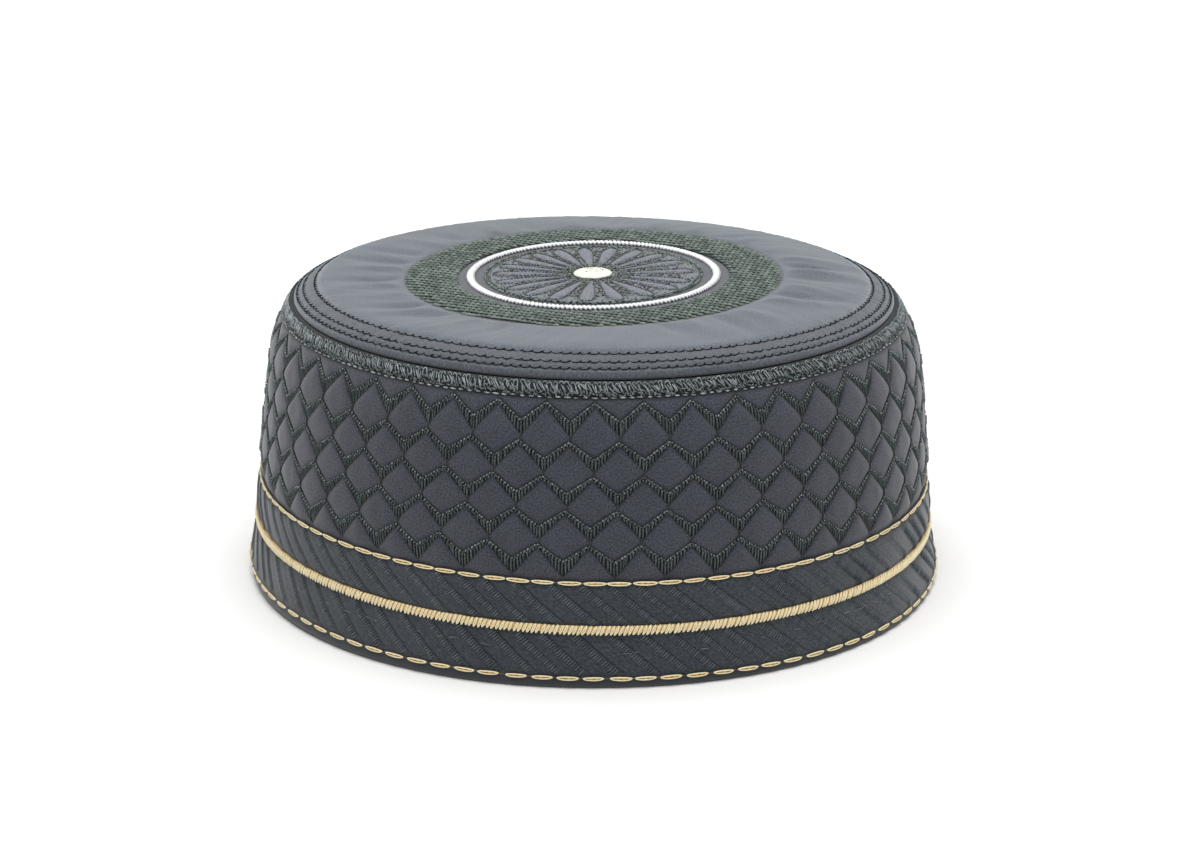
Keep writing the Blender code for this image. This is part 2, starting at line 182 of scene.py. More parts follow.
def outward(deg, rise=0.0):
    """Unit vectors that point away from the axis, tipped up by rise in radians."""
    a = np.radians(np.asarray(deg, float))
    up = np.full_like(a, math.sin(rise))
    return np.stack((np.sin(a) * math.cos(rise), -np.cos(a) * math.cos(rise), up), -1)


def around(rng, count, jitter, shift=0.0):
    """Angles spaced evenly round the cap, each moved a little by chance."""
    return (np.arange(count) + shift + rng.uniform(-jitter, jitter, count)) * 360.0 / count


def wobble(deg, seed, waves, count=9):
    """A smooth closed run of small ups and downs, about -1 to 1, round the cap."""
    rng = default_rng(seed)
    total = np.zeros_like(np.asarray(deg, float))
    for _ in range(count):
        total += np.sin(np.radians(deg) * rng.integers(waves[0], waves[1]) + rng.uniform(0, 6.283))
    return total / math.sqrt(count)


def smooth_rows(table, steps):
    """Points on a smooth curve through a table's rows, steps to each stretch."""
    pad = np.vstack((2 * table[0] - table[1], table, 2 * table[-1] - table[-2]))
    out = []
    for i in range(1, len(pad) - 2):
        a, b, c, d = pad[i - 1:i + 3]
        for t in np.arange(steps) / steps:
            out.append(0.5 * (2 * b + (c - a) * t + (2 * a - 5 * b + 4 * c - d) * t * t
                              + (3 * b - a - 3 * c + d) * t ** 3))
    out.append(table[-1])
    return np.array(out)


def new_object(name, data):
    ob = bpy.data.objects.new(name, data)
    bpy.context.scene.collection.objects.link(ob)
    return ob


def mark_points(mesh, key, values):
    """Store a number or a direction for each of the first points of a mesh."""
    values = np.asarray(values, np.float32)
    wide = values.ndim > 1 and values.shape[-1] == 3
    layer = mesh.attributes.new(key, "FLOAT_VECTOR" if wide else "FLOAT", "POINT")
    full = np.zeros(len(mesh.vertices) * (3 if wide else 1), np.float32)
    full[:values.size] = values.ravel()
    layer.data.foreach_set("vector" if wide else "value", full)


def cloth_shell(name, points, uv, wrap_rows=False, marks=None):
    """A closed mesh from rows of points. uv holds the flat place of each point, one column longer.

    With wrap_rows the last row joins the first; otherwise each end closes on one point.
    """
    rows, columns = points.shape[:2]
    r = np.arange(rows if wrap_rows else rows - 1)[:, None]
    c = np.arange(columns)[None, :]
    next_r, next_c = (r + 1) % rows, (c + 1) % columns
    corners = ((r, c), (r, next_c), (next_r, next_c), (next_r, c))
    faces = np.stack([a * columns + b for a, b in corners], -1).reshape(-1, 4).tolist()
    flat = np.stack([uv[a, b] for a, b in ((r, c), (r, c + 1), (next_r, c + 1), (next_r, c))], 2).reshape(-1, 2)
    verts = points.reshape(-1, 3)
    if not wrap_rows:
        i = c[0]
        last = (rows - 1) * columns
        start, end = np.full_like(i, len(verts)), np.full_like(i, len(verts) + 1)
        verts = np.vstack((verts, points[0].mean(0), points[-1].mean(0)))
        faces += np.stack((next_c[0], i, start), 1).tolist()
        faces += np.stack((last + i, last + next_c[0], end), 1).tolist()
        flat = np.vstack((flat, uv[0, np.stack((i + 1, i, i), 1).ravel()], uv[-1, np.stack((i, i + 1, i), 1).ravel()]))
    mesh = bpy.data.meshes.new(name)
    mesh.from_pydata(verts.tolist(), [], faces)
    mesh.uv_layers.new(name="cloth").data.foreach_set("uv", flat.astype(np.float32).ravel())
    for key, values in (marks or {}).items():
        mark_points(mesh, key, values)
    mesh.update()
    mesh.calc_loop_triangles()
    corner = np.zeros(len(mesh.loop_triangles) * 3, np.int32)
    mesh.loop_triangles.foreach_get("vertices", corner)
    p = verts[corner].reshape(-1, 3, 3)
    inside_out = np.einsum("ij,ij->i", p[:, 0], np.cross(p[:, 1], p[:, 2])).sum() < 0
    if inside_out:
        mesh.flip_normals()
    mesh.shade_smooth()
    return mesh


def dressed(name, points, uv, finish, wrap_rows=False):
    """A cloth shell with its finish, as an object."""
    ob = new_object(name, cloth_shell(name, points, uv, wrap_rows))
    ob.data.materials.append(finish)
    return ob


def plan_flat(radius, deg):
    """Flat places, seen from above, one column longer than the points."""
    turn = np.radians(np.append(deg, 360.0))[None, :]
    return np.stack((radius * np.sin(turn), -radius * np.cos(turn)), -1)


def core_ring(name, section, finish, flat_step):
    """A plain closed ring under threads, from the radius and height of its section's corners."""
    section = np.array(section)
    points = place(section[:, :1], np.arange(360.0), section[:, 1:])
    uv = np.stack(np.broadcast_arrays(np.arange(361.0) * flat_step, np.arange(float(len(section)))[:, None]), -1)
    return dressed(name, points, uv, finish, wrap_rows=True)


# Node helpers


class Out:
    """What a node puts out. Sums with it become Math nodes of its tree."""

    def __init__(self, socket):
        self.socket = socket

    def also(self, name):
        """Another output of the same node."""
        return Out(self.socket.node.outputs[name])

    def __add__(self, other):
        return calc("ADD", self, other)

    def __sub__(self, other):
        return calc("SUBTRACT", self, other)

    def __rsub__(self, other):
        return calc("SUBTRACT", other, self)

    def __mul__(self, other):
        return calc("MULTIPLY", self, other)

    def __truediv__(self, other):
        return calc("DIVIDE", self, other)

    def __rtruediv__(self, other):
        return calc("DIVIDE", other, self)


def put(value, target):
    """Give a socket a plain value, or link it to what a node puts out."""
    if isinstance(value, Out):
        target.id_data.links.new(value.socket, target)
    else:
        target.default_value = value


def calc(operation, *terms):
    """One Math node, in the tree of the first term that comes from a node."""
    tree = next(term.socket.id_data for term in terms if isinstance(term, Out))
    node = tree.nodes.new("ShaderNodeMath")
    node.operation = operation
    for term, target in zip(terms, node.inputs):
        put(term, target)
    return Out(node.outputs[0])


def clamped(total):
    """Keep what a Math node puts out between 0 and 1."""
    total.socket.node.use_clamp = True
    return total


def add(tree, kind, pick=0, **values):
    """Add a node and give what it puts out at pick; a value goes to the node's own setting or to its socket."""
    node = tree.nodes.new(kind)
    for key, value in values.items():
        if hasattr(node, key):
            setattr(node, key, value)
    for key, value in values.items():
        if not hasattr(node, key):
            put(value, next(s for s in node.inputs if s.enabled and s.name == key.replace("_", " ")))
    return Out(node.outputs[pick])


def split(tree, vector):
    """The x and the y of a vector."""
    x = add(tree, "ShaderNodeSeparateXYZ", "X", Vector=vector)
    return x, x.also("Y")


def blend(share, low, high):
    """The colour that lies between two others."""
    node = share.socket.id_data.nodes.new("ShaderNodeMix")
    node.data_type = "RGBA"
    for i, term in ((0, share), (6, low), (7, high)):
        put(term, node.inputs[i])
    return Out(node.outputs[2])


SOCKET_KINDS = {float: "Float", int: "Int", bool: "Bool"}


def new_tree(name, inputs, numbers=()):
    """A shader group that puts out these numbers, or without any a Geometry Nodes tree that puts out Sewn.

    Each input has its own name, and a plain value to start from or the kind of its socket.
    """
    tree = bpy.data.node_groups.new(name, "ShaderNodeTree" if numbers else "GeometryNodeTree")
    for label, value in inputs.items():
        kind = value if isinstance(value, str) else SOCKET_KINDS[type(value)]
        socket = tree.interface.new_socket(label, in_out="INPUT", socket_type="NodeSocket" + kind)
        if kind != value:
            socket.default_value = value
    for label in numbers or ("Sewn",):
        kind = "NodeSocketFloat" if numbers else "NodeSocketGeometry"
        tree.interface.new_socket(label, in_out="OUTPUT", socket_type=kind)
    start = tree.nodes.new("NodeGroupInput")
    return tree, lambda label: Out(start.outputs[label]), tree.nodes.new("NodeGroupOutput").inputs


# Shader groups


def weave_group():
    """Woven cloth on a flat place: threads over and under, slubs and a mottled shade."""
    tree, given, out = new_tree("plain weave", {
        "Flat place": "Vector", "Thread pitch": 0.45, "Slub": 0.5, "Grain a mm": 1.6}, ("Height", "Shade"))
    flat = given("Flat place")
    scaled = add(tree, "ShaderNodeVectorMath", operation="SCALE", Vector=flat, Scale=HALF_WAVE / given("Thread pitch"))
    x, y = split(tree, scaled)
    over = calc("SINE", x) * calc("SINE", y)
    grain = add(tree, "ShaderNodeTexNoise", "Fac", Vector=flat, Scale=given("Grain a mm"), Detail=2.0, Roughness=0.8)
    mottle = add(tree, "ShaderNodeTexNoise", "Fac", Vector=flat, Scale=0.13, Detail=3.0, Roughness=0.55)
    put(over * 0.3 + grain * given("Slub"), out["Height"])
    put(grain * 0.87 + mottle * 0.13, out["Shade"])
    return tree


def fibre_group():
    """Twisted thread: plies that wind along a stitch, with painted light and shade on their ridges and grooves, and a
    tint that changes from stitch to stitch.
    """
    tree, given, out = new_tree("twisted fibre", {
        "Twists a mm": 1.1, "Unevenness": 0.5, "Strand contrast": 0.2}, ("Height", "Shade"))
    run, long, girth, tint = (add(tree, "ShaderNodeAttribute", "Fac", attribute_name=key)
                              for key in ("run", "long", "girth", "tint"))
    phase = run * long * given("Twists a mm") + (girth + tint * 5.0)
    strand = calc("SINE", phase * (2.0 * HALF_WAVE))
    put(strand * 0.5, out["Height"])
    # The same wave as the relief is painted into the colour: lighter on the plies' ridges, darker in the grooves
    # between them.
    put(clamped(strand * given("Strand contrast") + 0.5 + (tint - 0.5) * given("Unevenness")), out["Shade"])
    return tree


def needle_hole_group():
    """Small dark needle holes in a row on each side of a rope of the band; the flat place counts ribs and mm."""
    tree, given, out = new_tree("needle holes", {
        "Flat place": "Vector", "Spacing": 0.6, "Width": 0.065, "Rope middle": ROPE_MIDDLE, "Rope half": ROPE_HALF},
        ("Holes",))
    x, y = split(tree, given("Flat place"))
    beside = calc("ABSOLUTE", calc("FRACT", x + 1000.0) - given("Rope middle"))
    line = clamped(1.0 - calc("ABSOLUTE", beside - given("Rope half")) / given("Width"))
    dot = calc("SINE", calc("FRACT", y / given("Spacing")) * HALF_WAVE)
    put(line * (dot * 0.75 + 0.25), out["Holes"])
    return tree


WEAVE = weave_group()
FIBRE = fibre_group()
NEEDLE_HOLES = needle_hole_group()


def colour(seen):
    """A linear colour from the red, green and blue, 0 to 255, seen on a screen."""
    share = np.array(seen) / 255.0
    linear = np.where(share <= 0.04045, share / 12.92, ((share + 0.055) / 1.055) ** 2.4)
    return (*linear.tolist(), 1.0)


def new_material(name):
    mat = bpy.data.materials.new(name)
    mat.use_nodes = True
    return mat, mat.node_tree, mat.node_tree.nodes["Principled BSDF"]


def surface(shader, base, height, strength, depth, **constants):
    """Dye a shader, give it a relief of this depth and set its own sockets."""
    put(base, shader.inputs["Base Color"])
    bump = add(shader.id_data, "ShaderNodeBump", Strength=strength, Distance=depth * MM, Height=height)
    put(bump, shader.inputs["Normal"])
    for key, value in constants.items():
        shader.inputs[key.replace("_", " ")].default_value = value


def cloth_finish(name, dark, light, pitch=0.45, sheen=0.5, rough=0.9, seam=None, holes=None, grain=1.6, glint=WHITE):
    """Woven cloth; its second colour comes in where the mark of the same name is high: painted shade with a dark line
    beside the wall's seams, and a plain hem colour on the band. holes is the colour of its needle holes.
    """
    mat, tree, shader = new_material(name)
    flat = add(tree, "ShaderNodeUVMap", uv_map="cloth")
    even = add(tree, "ShaderNodeVectorMath", operation="MULTIPLY", Vector=flat)
    even.socket.node.inputs[1].default_value = (RIB_PITCH if holes else 1.0, 1.0, 1.0)
    weave = add(tree, "ShaderNodeGroup", "Shade", node_tree=WEAVE, Flat_place=even, Thread_pitch=pitch, Slub=0.7,
                Grain_a_mm=grain)
    spread = add(tree, "ShaderNodeMapRange", "Result", Value=weave, From_Min=0.37, From_Max=0.63)
    base = blend(spread, colour(dark), colour(light))
    if seam:
        base = blend(add(tree, "ShaderNodeAttribute", "Fac", attribute_name="seam"), base, colour(seam))
    if holes:
        dots = add(tree, "ShaderNodeGroup", node_tree=NEEDLE_HOLES, Flat_place=flat)
        faint = add(tree, "ShaderNodeGroup", node_tree=NEEDLE_HOLES, Flat_place=flat, Spacing=1.1, Width=0.025,
                    Rope_middle=0.71, Rope_half=0.07)
        share = add(tree, "ShaderNodeAttribute", "Fac", attribute_name="ribbed")
        base = blend(calc("MAXIMUM", dots, faint * 0.4) * share, base, colour(holes))
    surface(shader, base, weave.also("Height"), 0.6, 0.05, Roughness=rough, Sheen_Weight=sheen, Sheen_Roughness=0.5,
            Specular_IOR_Level=0.25, Sheen_Tint=glint)
    return mat


def thread_finish(name, dark, light, twists=1.1, uneven=0.5, painted_strand_shade=0.2, rough=0.55, sheen=0.2, gloss=0.35,
                  glint=WHITE):
    """Thread with painted light and shade that winds along each stitch, and a tint that varies from stitch to stitch.
    """
    mat, tree, shader = new_material(name)
    fibre = add(tree, "ShaderNodeGroup", "Shade", node_tree=FIBRE, Twists_a_mm=twists, Unevenness=uneven,
                Strand_contrast=painted_strand_shade)
    surface(shader, blend(fibre, colour(dark), colour(light)), fibre.also("Height"), 0.5, 0.06, Roughness=rough,
            Sheen_Weight=sheen, Sheen_Roughness=0.5, Specular_IOR_Level=gloss, Sheen_Tint=glint)
    return mat


# Geometry Nodes; lengths inside the trees are in metres


def read(tree, key, data_type="FLOAT"):
    return add(tree, "GeometryNodeInputNamedAttribute", data_type=data_type, Name=key)


def store(tree, geometry, key, value, domain="POINT"):
    return add(tree, "GeometryNodeStoreNamedAttribute", data_type="FLOAT", domain=domain, Name=key, Geometry=geometry,
               Value=value)


def scale_vector(tree, vector, scale):
    return add(tree, "ShaderNodeVectorMath", operation="SCALE", Vector=vector, Scale=scale)


def set_off(tree, given, out, body, long):
    """The shared end of the sewing trees: put the body at each spot, vary it, realize it and dye it."""
    along, facing, size = (read(tree, key, "FLOAT_VECTOR") for key in ("along", "out", "size"))
    turn = add(tree, "FunctionNodeAxesToRotation", primary_axis="X", secondary_axis="Z", Primary_Axis=along,
               Secondary_Axis=facing)
    chance = add(tree, "FunctionNodeRandomValue", 1, data_type="FLOAT", Seed=given("Seed"))
    uneven = (chance - 0.5) * (given("Unevenness") * 2.0)
    sewn = add(tree, "GeometryNodeInstanceOnPoints", Points=given("Spots"), Instance=body, Rotation=turn,
               Scale=scale_vector(tree, size, uneven + 1.0))
    tint = add(tree, "FunctionNodeRandomValue", 1, data_type="FLOAT", Seed=given("Seed") + 77.0)
    span = store(tree, store(tree, sewn, "tint", tint, "INSTANCE"), "long", long * 1000.0, "INSTANCE")
    real = add(tree, "GeometryNodeRealizeInstances", Geometry=span)
    soft = add(tree, "GeometryNodeSetShadeSmooth", Geometry=real)
    put(add(tree, "GeometryNodeSetMaterial", Geometry=soft, Material=given("Thread")), out["Sewn"])


def swept(tree, given, path, thickness):
    """Sweep a round thread along a path, marking how far along and how far round each point is."""
    factor = add(tree, "GeometryNodeSplineParameter", "Factor")
    off = calc("ABSOLUTE", factor * 2.0 - 1.0)
    thick = add(tree, "GeometryNodeSetCurveRadius", Curve=store(tree, path, "run", factor),
                Radius=1.0 - calc("POWER", off, 2.5) * given("Taper"))
    ring = add(tree, "GeometryNodeCurvePrimitiveCircle", Resolution=given("Sides"), Radius=thickness * 0.5)
    return add(tree, "GeometryNodeCurveToMesh", Curve=thick, Profile_Curve=store(tree, ring, "girth", factor),
               Fill_Caps=True, Scale=add(tree, "GeometryNodeInputRadius"))


COMMON_INPUTS = {"Unevenness": 0.08, "Taper": 0.5, "Steps": 3, "Sides": 5, "Seed": 1, "Thread": "Material"}


def stitch_tree():
    """One rounded stitch at each spot: straight, arched up by Arch and bowed sideways by Bow times its width."""
    tree, given, out = new_tree("stitches", {"Spots": "Geometry", "Bow": 0.0, "Arch": 0.3, **COMMON_INPUTS})
    line = add(tree, "GeometryNodeCurvePrimitiveLine", Start=(-0.5, 0, 0), End=(0.5, 0, 0))
    fine = add(tree, "GeometryNodeResampleCurve", Curve=line, Count=given("Steps") + 1.0)
    body = swept(tree, given, fine, 1.0)
    off = read(tree, "run") * 2.0 - 1.0
    arc = 1.0 - off * off
    bend = add(tree, "ShaderNodeCombineXYZ", Y=arc * given("Bow"), Z=arc * given("Arch"))
    bent = add(tree, "GeometryNodeSetPosition", Geometry=body, Offset=bend)
    set_off(tree, given, out, bent, split(tree, read(tree, "size", "FLOAT_VECTOR"))[0])
    return tree


def link_tree():
    """One bowed strand at each spot, or two that bow apart into a chain link, at their real size."""
    tree, given, out = new_tree("chain links", {
        "Spots": "Geometry", "Length": 0.005, "Opening": 0.0004, "Rise": 0.0002, "Thickness": 0.0006,
        "Bluntness": 0.7, "Closed": True, **COMMON_INPUTS})
    half = given("Length") * 0.5
    reach = half * given("Bluntness")
    start, end = (add(tree, "ShaderNodeCombineXYZ", X=half * way) for way in (-1.0, 1.0))
    both = tree.nodes.new("GeometryNodeJoinGeometry")
    for side in (-1.0, 1.0):
        handles = [add(tree, "ShaderNodeCombineXYZ", X=reach * way, Y=given("Opening") * (1.33 * side),
                       Z=given("Rise") * 1.33) for way in (-1.0, 1.0)]
        line = add(tree, "GeometryNodeCurvePrimitiveBezierSegment", Resolution=given("Steps"), Start=start, End=end,
                   Start_Handle=handles[0], End_Handle=handles[1])
        strand = swept(tree, given, line, given("Thickness"))
        if side < 0:
            strand = add(tree, "GeometryNodeSwitch", input_type="GEOMETRY", Switch=given("Closed"), **{"True": strand})
        put(strand, both.inputs[0])
    set_off(tree, given, out, Out(both.outputs[0]), given("Length"))
    return tree


def relief_tree(name, inputs, lift):
    """Raise a cloth shell along its own outward marks by what lift works out."""
    tree, given, out = new_tree(name, {"Cloth": "Geometry", **inputs, "Finish": "Material"})
    offset = scale_vector(tree, read(tree, "face", "FLOAT_VECTOR"), lift(tree, given))
    moved = add(tree, "GeometryNodeSetPosition", Geometry=given("Cloth"), Offset=offset)
    real = add(tree, "GeometryNodeRealizeInstances", Geometry=moved)
    put(add(tree, "GeometryNodeSetMaterial", Geometry=real, Material=given("Finish")), out["Sewn"])
    return tree


def quilt_lift(tree, given):
    """Stuffing under the diamonds, with a little slack in the cloth."""
    noise = add(tree, "ShaderNodeTexNoise", "Fac", noise_dimensions="4D", W=given("Seed") * 3.7,
                Scale=given("Slack scale"), Detail=1.0)
    return read(tree, "fill") * (given("Stuffing") + (noise - 0.5) * given("Slack"))


def rib_lift(tree, given):
    """A narrow round rope and a wide flat rib in each repeat of the band."""
    across = calc("FRACT", read(tree, "rib") + 1000.0)

    def rise(kind):
        off = (across - given(kind + " middle")) / given(kind + " half")
        return calc("SQRT", clamped(1.0 - off * off)) * given(kind + " rise")

    return read(tree, "ribbed") * (rise("Rope") + rise("Rib"))


STITCHES = stitch_tree()
LINKS = link_tree()
QUILTING = relief_tree("quilting", {"Stuffing": 0.0009, "Slack": 0.0007, "Slack scale": 190.0, "Seed": 3}, quilt_lift)
RIBBING = relief_tree("ribbing", {
    "Rope middle": ROPE_MIDDLE, "Rope half": ROPE_HALF, "Rope rise": 0.0003,
    "Rib middle": 0.70, "Rib half": 0.29, "Rib rise": 0.00015}, rib_lift)


def grow(name, mesh, tree, **values):
    """Run a Geometry Nodes tree on a mesh and keep the result as one plain mesh."""
    ob = new_object(name, mesh)
    work = ob.modifiers.new("work", "NODES")
    work.node_group = tree
    for item in tree.interface.items_tree:
        key = item.name.replace(" ", "_")
        if item.in_out == "INPUT" and key in values:
            work[item.identifier] = values[key]
    deps = bpy.context.evaluated_depsgraph_get()
    done = bpy.data.meshes.new_from_object(ob.evaluated_get(deps), preserve_all_data_layers=True, depsgraph=deps)
    ob.modifiers.remove(work)
    ob.data = done
    bpy.data.meshes.remove(mesh)
    for key in ("along", "out", "size", "face", "fill", "rib"):
        if key in done.attributes:
            done.attributes.remove(done.attributes[key])
    return ob


def between(start, end, facing, width=None, height=None, extra=0.0, size=1.0):
    """The middle, direction, facing and size of stitches that run between points in metres.

    With a width in mm the size is that of a stitch; without one it is a plain factor, for links.
    """
    span = end - start
    length = np.linalg.norm(span, axis=1)
    if width is None:
        sizes = (size, size, size)
    else:
        sizes = (length + extra * MM, np.asarray(width) * MM, np.asarray(height) * MM)
    sizes = np.stack(np.broadcast_arrays(*sizes, length)[:3], 1)
    return np.hstack(((start + end) / 2.0, span / length[:, None], np.broadcast_to(facing, start.shape), sizes))


def spots(start, end, *looks, **more):
    """The same for stitches between places given as radius, angle and height."""
    return between(place(*start), place(*end), *looks, **more)


def sew(name, places, thread, tree=STITCHES, **values):
    """Sew stitches or links at the places and return them as one plain mesh object."""
    mesh = bpy.data.meshes.new(name)
    mesh.from_pydata(places[:, :3].tolist(), [], [])
    for i, key in enumerate(("along", "out", "size")):
        mark_points(mesh, key, places[:, 3 + 3 * i:6 + 3 * i])
    return grow(name, mesh, tree, Thread=thread, **values)


def join(name, *parts):
    """Make several objects one."""
    bpy.ops.object.select_all(action="DESELECT")
    for ob in parts:
        ob.select_set(True)
    bpy.context.view_layer.objects.active = parts[0]
    bpy.ops.object.join()
    parts[0].name = name
    return parts[0]


def wear(ob, slot, *nodes):
    """The piece rides with the cap and stands for its solids; slot is not used."""
    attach(ob, "root")
    if nodes:
        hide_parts(*nodes)
    return ob


def run_of_stitches(path, count, cover):
    """Start and end points of evenly spaced stitches along a closed path of points."""
    loop = np.vstack((path, path[:1]))
    mark = np.concatenate(([0.0], np.cumsum(np.linalg.norm(np.diff(loop, axis=0), axis=1))))

    def pick(share):
        at = (np.arange(count) + share) / count * mark[-1]
        return np.stack([np.interp(at, mark, loop[:, i]) for i in range(3)], 1)
    return pick(0.5 - cover / 2), pick(0.5 + cover / 2)


# Quilted wall


def on_wall(height, lift=0.0):
    """Radius of the cloth where it is drawn down, raised by lift."""
    return np.interp(height, WALL_PROFILE[:, 0], WALL_PROFILE[:, 1]) - QUILT_DEPTH + lift


def ribbon_edges(k, deg):
    """Upper and lower height of ribbon k: peaks every 8 degrees, every other ribbon set half way on."""
    turn = ((np.asarray(deg, float) - RIBBON_DRIFT * k) / (360.0 / DIAMONDS_ROUND) + 0.5 * (k % 2)) % 1.0
    valley = 1.0 - np.abs(2.0 * turn - 1.0)
    upper = RIBBON_PEAKS[k] - RIBBON_DROP * valley
    low_peak = RIBBON_PEAKS[k] - RIBBON_AT_PEAK
    lower = low_peak + (RIBBON_PEAKS[k + 1] + 0.95 - low_peak) * valley
    return upper, lower


def quilted_wall():
    """The wall's cloth, row by row from the top: puffed diamonds between the sunk grounds of the ribbons."""
    deg = np.arange(WALL_COLUMNS) * 360.0 / WALL_COLUMNS
    levels = []

    def level(height, fill, seam, sink=0.0):
        levels.append(np.stack(np.broadcast_arrays(height, fill, seam, sink, deg)[:4]))

    def pillow(top, bottom, steps, full, foot=0.0):
        """Rows between two edges, stuffed in the middle and drawn down at the edges, less so at a foot."""
        tall = np.maximum(top - bottom, 0.0)
        room = np.clip((tall - UNSTUFFED_BELOW) / full, 0.0, 1.0) ** 0.55
        for t in 0.5 - 0.5 * np.cos(np.linspace(0.0, math.pi, steps + 1)[1:-1]):
            drawn = abs(2.0 * t - 1.0) * (1.0 - foot * (t > 0.5))
            # Painted shade: within about SEAM_SHADOW of an edge the cloth takes the dark colour, a dark stitched line
            # at the seams and the shade in the groove beside them.
            seam_line_and_shade = np.exp(-((min(t, 1.0 - t + foot) * tall) / SEAM_SHADOW) ** 2)
            level(top - tall * t, (1.0 - drawn ** 2) ** 0.6 * room, 0.9 * seam_line_and_shade)

    # The third number of a level is the painted shade of the seams: full at the top edge under the crown's lip and on
    # the ribbons' grounds, dark between the satin threads.
    level(WALL_TOP + 0.5, 0.0, 0.0, 0.2)
    level(WALL_TOP, 0.0, 1.0)
    edges = [ribbon_edges(k, deg) for k in range(5)]
    pillow(np.full_like(deg, WALL_TOP), edges[0][0], 6, 4.5)
    for k in range(5):
        upper, lower = edges[k]
        for t, sink in ((0.0, 0.0), (0.3, 0.25), (0.7, 0.25), (1.0, 0.0)):
            level(upper + (lower - upper) * t, 0.0, 1.0, sink)
        if k < 4:
            pillow(lower, edges[k + 1][0], 9, 6.5)
    pillow(lower, np.full_like(deg, WALL_FOOT), 6, 6.5, foot=0.8)
    level(WALL_FOOT, 0.6, 0.0)
    height, fill, seam, sink = np.stack(levels, 1)
    inner_height, inner_radius = (np.repeat(WALL_INSIDE[:, i:i + 1], WALL_COLUMNS, 1) for i in range(2))
    face = np.broadcast_to(outward(deg), (*height.shape, 3))
    radius = np.vstack((on_wall(height) - sink, inner_radius))
    height = np.vstack((height, inner_height))
    wide = np.append(deg, 360.0) * math.pi / 180.0 * WALL_MEAN_RADIUS
    uv = np.stack((np.broadcast_to(wide, (len(height), WALL_COLUMNS + 1)), np.hstack((height, height[:, :1]))), -1)
    mesh = cloth_shell("quilted_cloth", place(radius, deg, height), uv, wrap_rows=True,
                       marks={"fill": fill, "seam": seam, "face": face})
    ob = grow("quilted_cloth", mesh, QUILTING, Stuffing=QUILT_DEPTH * MM, Finish=WALL_CLOTH)
    return wear(ob, "wall_cloth", "quilted_wall")


def ribbon_threads():
    """Upright satin stitches that fill the five zigzag ribbons, and the knots where ribbons meet."""
    each = WALL_COLUMNS
    rng = default_rng(11)
    lots, knots = [], []
    for k in range(5):
        deg = around(rng, each, 0.1)
        upper, lower = ribbon_edges(k, deg)
        lower = lower - rng.uniform(0.0, 0.25, each)
        foot = (on_wall(lower), deg + rng.uniform(-0.12, 0.12, each), lower)
        lots.append(spots((on_wall(upper, 0.1), deg, upper), foot, outward(deg), 0.50, 0.40))
        low = RIBBON_PEAKS[k + 1]
        at = (np.arange(DIAMONDS_ROUND) + 0.5 * ((k + 1) % 2)) * 360.0 / DIAMONDS_ROUND + RIBBON_DRIFT * k
        if k < 4:
            knots.append(spots((on_wall(low + 1.4, 0.1), at, low + 1.4), (on_wall(low, 0.2), at - 0.15, low - 0.1),
                               outward(at), 0.75, 0.6))
    threads = sew("ribbon_satin", np.vstack(lots), RIBBON_THREAD, Arch=0.45, Taper=0.55, Steps=2, Sides=4, Seed=5)
    ties = sew("ribbon_knots", np.vstack(knots), RIBBON_KNOT, Arch=0.3, Taper=0.5, Seed=6)
    return wear(join("ribbon_threads", threads, ties), "wall_cloth")


def ribbon_edging():
    """Two rows of small slanting stitches along each ribbon's upper edge, the tops of the satin threads: the upper row
    in a lighter copy of the ribbon's thread that paints the highlight they catch, the lower one dimmer, in painted
    half shade.
    """
    each = WALL_COLUMNS
    rng = default_rng(13)
    rows = {0: [], 1: []}
    for k in range(5):
        for row in rows:
            deg = around(rng, each, 0.14, 0.5 * (1 - row))
            step = 0.10 - 0.01 * row + rng.uniform(-0.02, 0.02, each)
            left, _ = ribbon_edges(k, deg - 0.17)
            right, _ = ribbon_edges(k, deg + 0.17)
            middle = (left + right) / 2.0 - 0.12 - 0.62 * row + rng.uniform(-0.06, 0.06, each)
            rise = (right - left) / 0.34 * step * 1.3 + rng.uniform(0.02, 0.10, each)
            radius = on_wall(middle, 0.50) - 0.04 * row
            rows[row].append(spots((radius, deg - step, middle - rise), (radius, deg + step, middle + rise),
                                   outward(deg, 0.3), 0.46 - 0.04 * row, 0.44, 0.10))
    edge = sew("ribbon_edging", np.vstack(rows[0]), EDGE_HIGHLIGHT_THREAD, Arch=0.3, Taper=0.8, Steps=2, Sides=4, Seed=8,
               Unevenness=0.18)
    dim = sew("ribbon_second_row", np.vstack(rows[1]), EDGE_SHADE, Arch=0.3, Taper=0.8, Steps=2, Sides=3, Seed=9,
              Unevenness=0.2)
    return wear(join("ribbon_edging", edge, dim), "wall_cloth")


# Ribbed band


def rib_turn(rib, height):
    """The angle of a place across the ribs, at a height; the hand-sewn ribs are a little uneven."""
    base = np.asarray(rib, float) * 360.0 / RIB_COUNT
    return base + (np.asarray(height, float) - RIB_SHEAR_AT) * RIB_SHEAR + 0.85 * wobble(base, 5, (6, 24))


def band_radius(height):
    return np.interp(height, BAND_PROFILE[:, 0], BAND_PROFILE[:, 1])


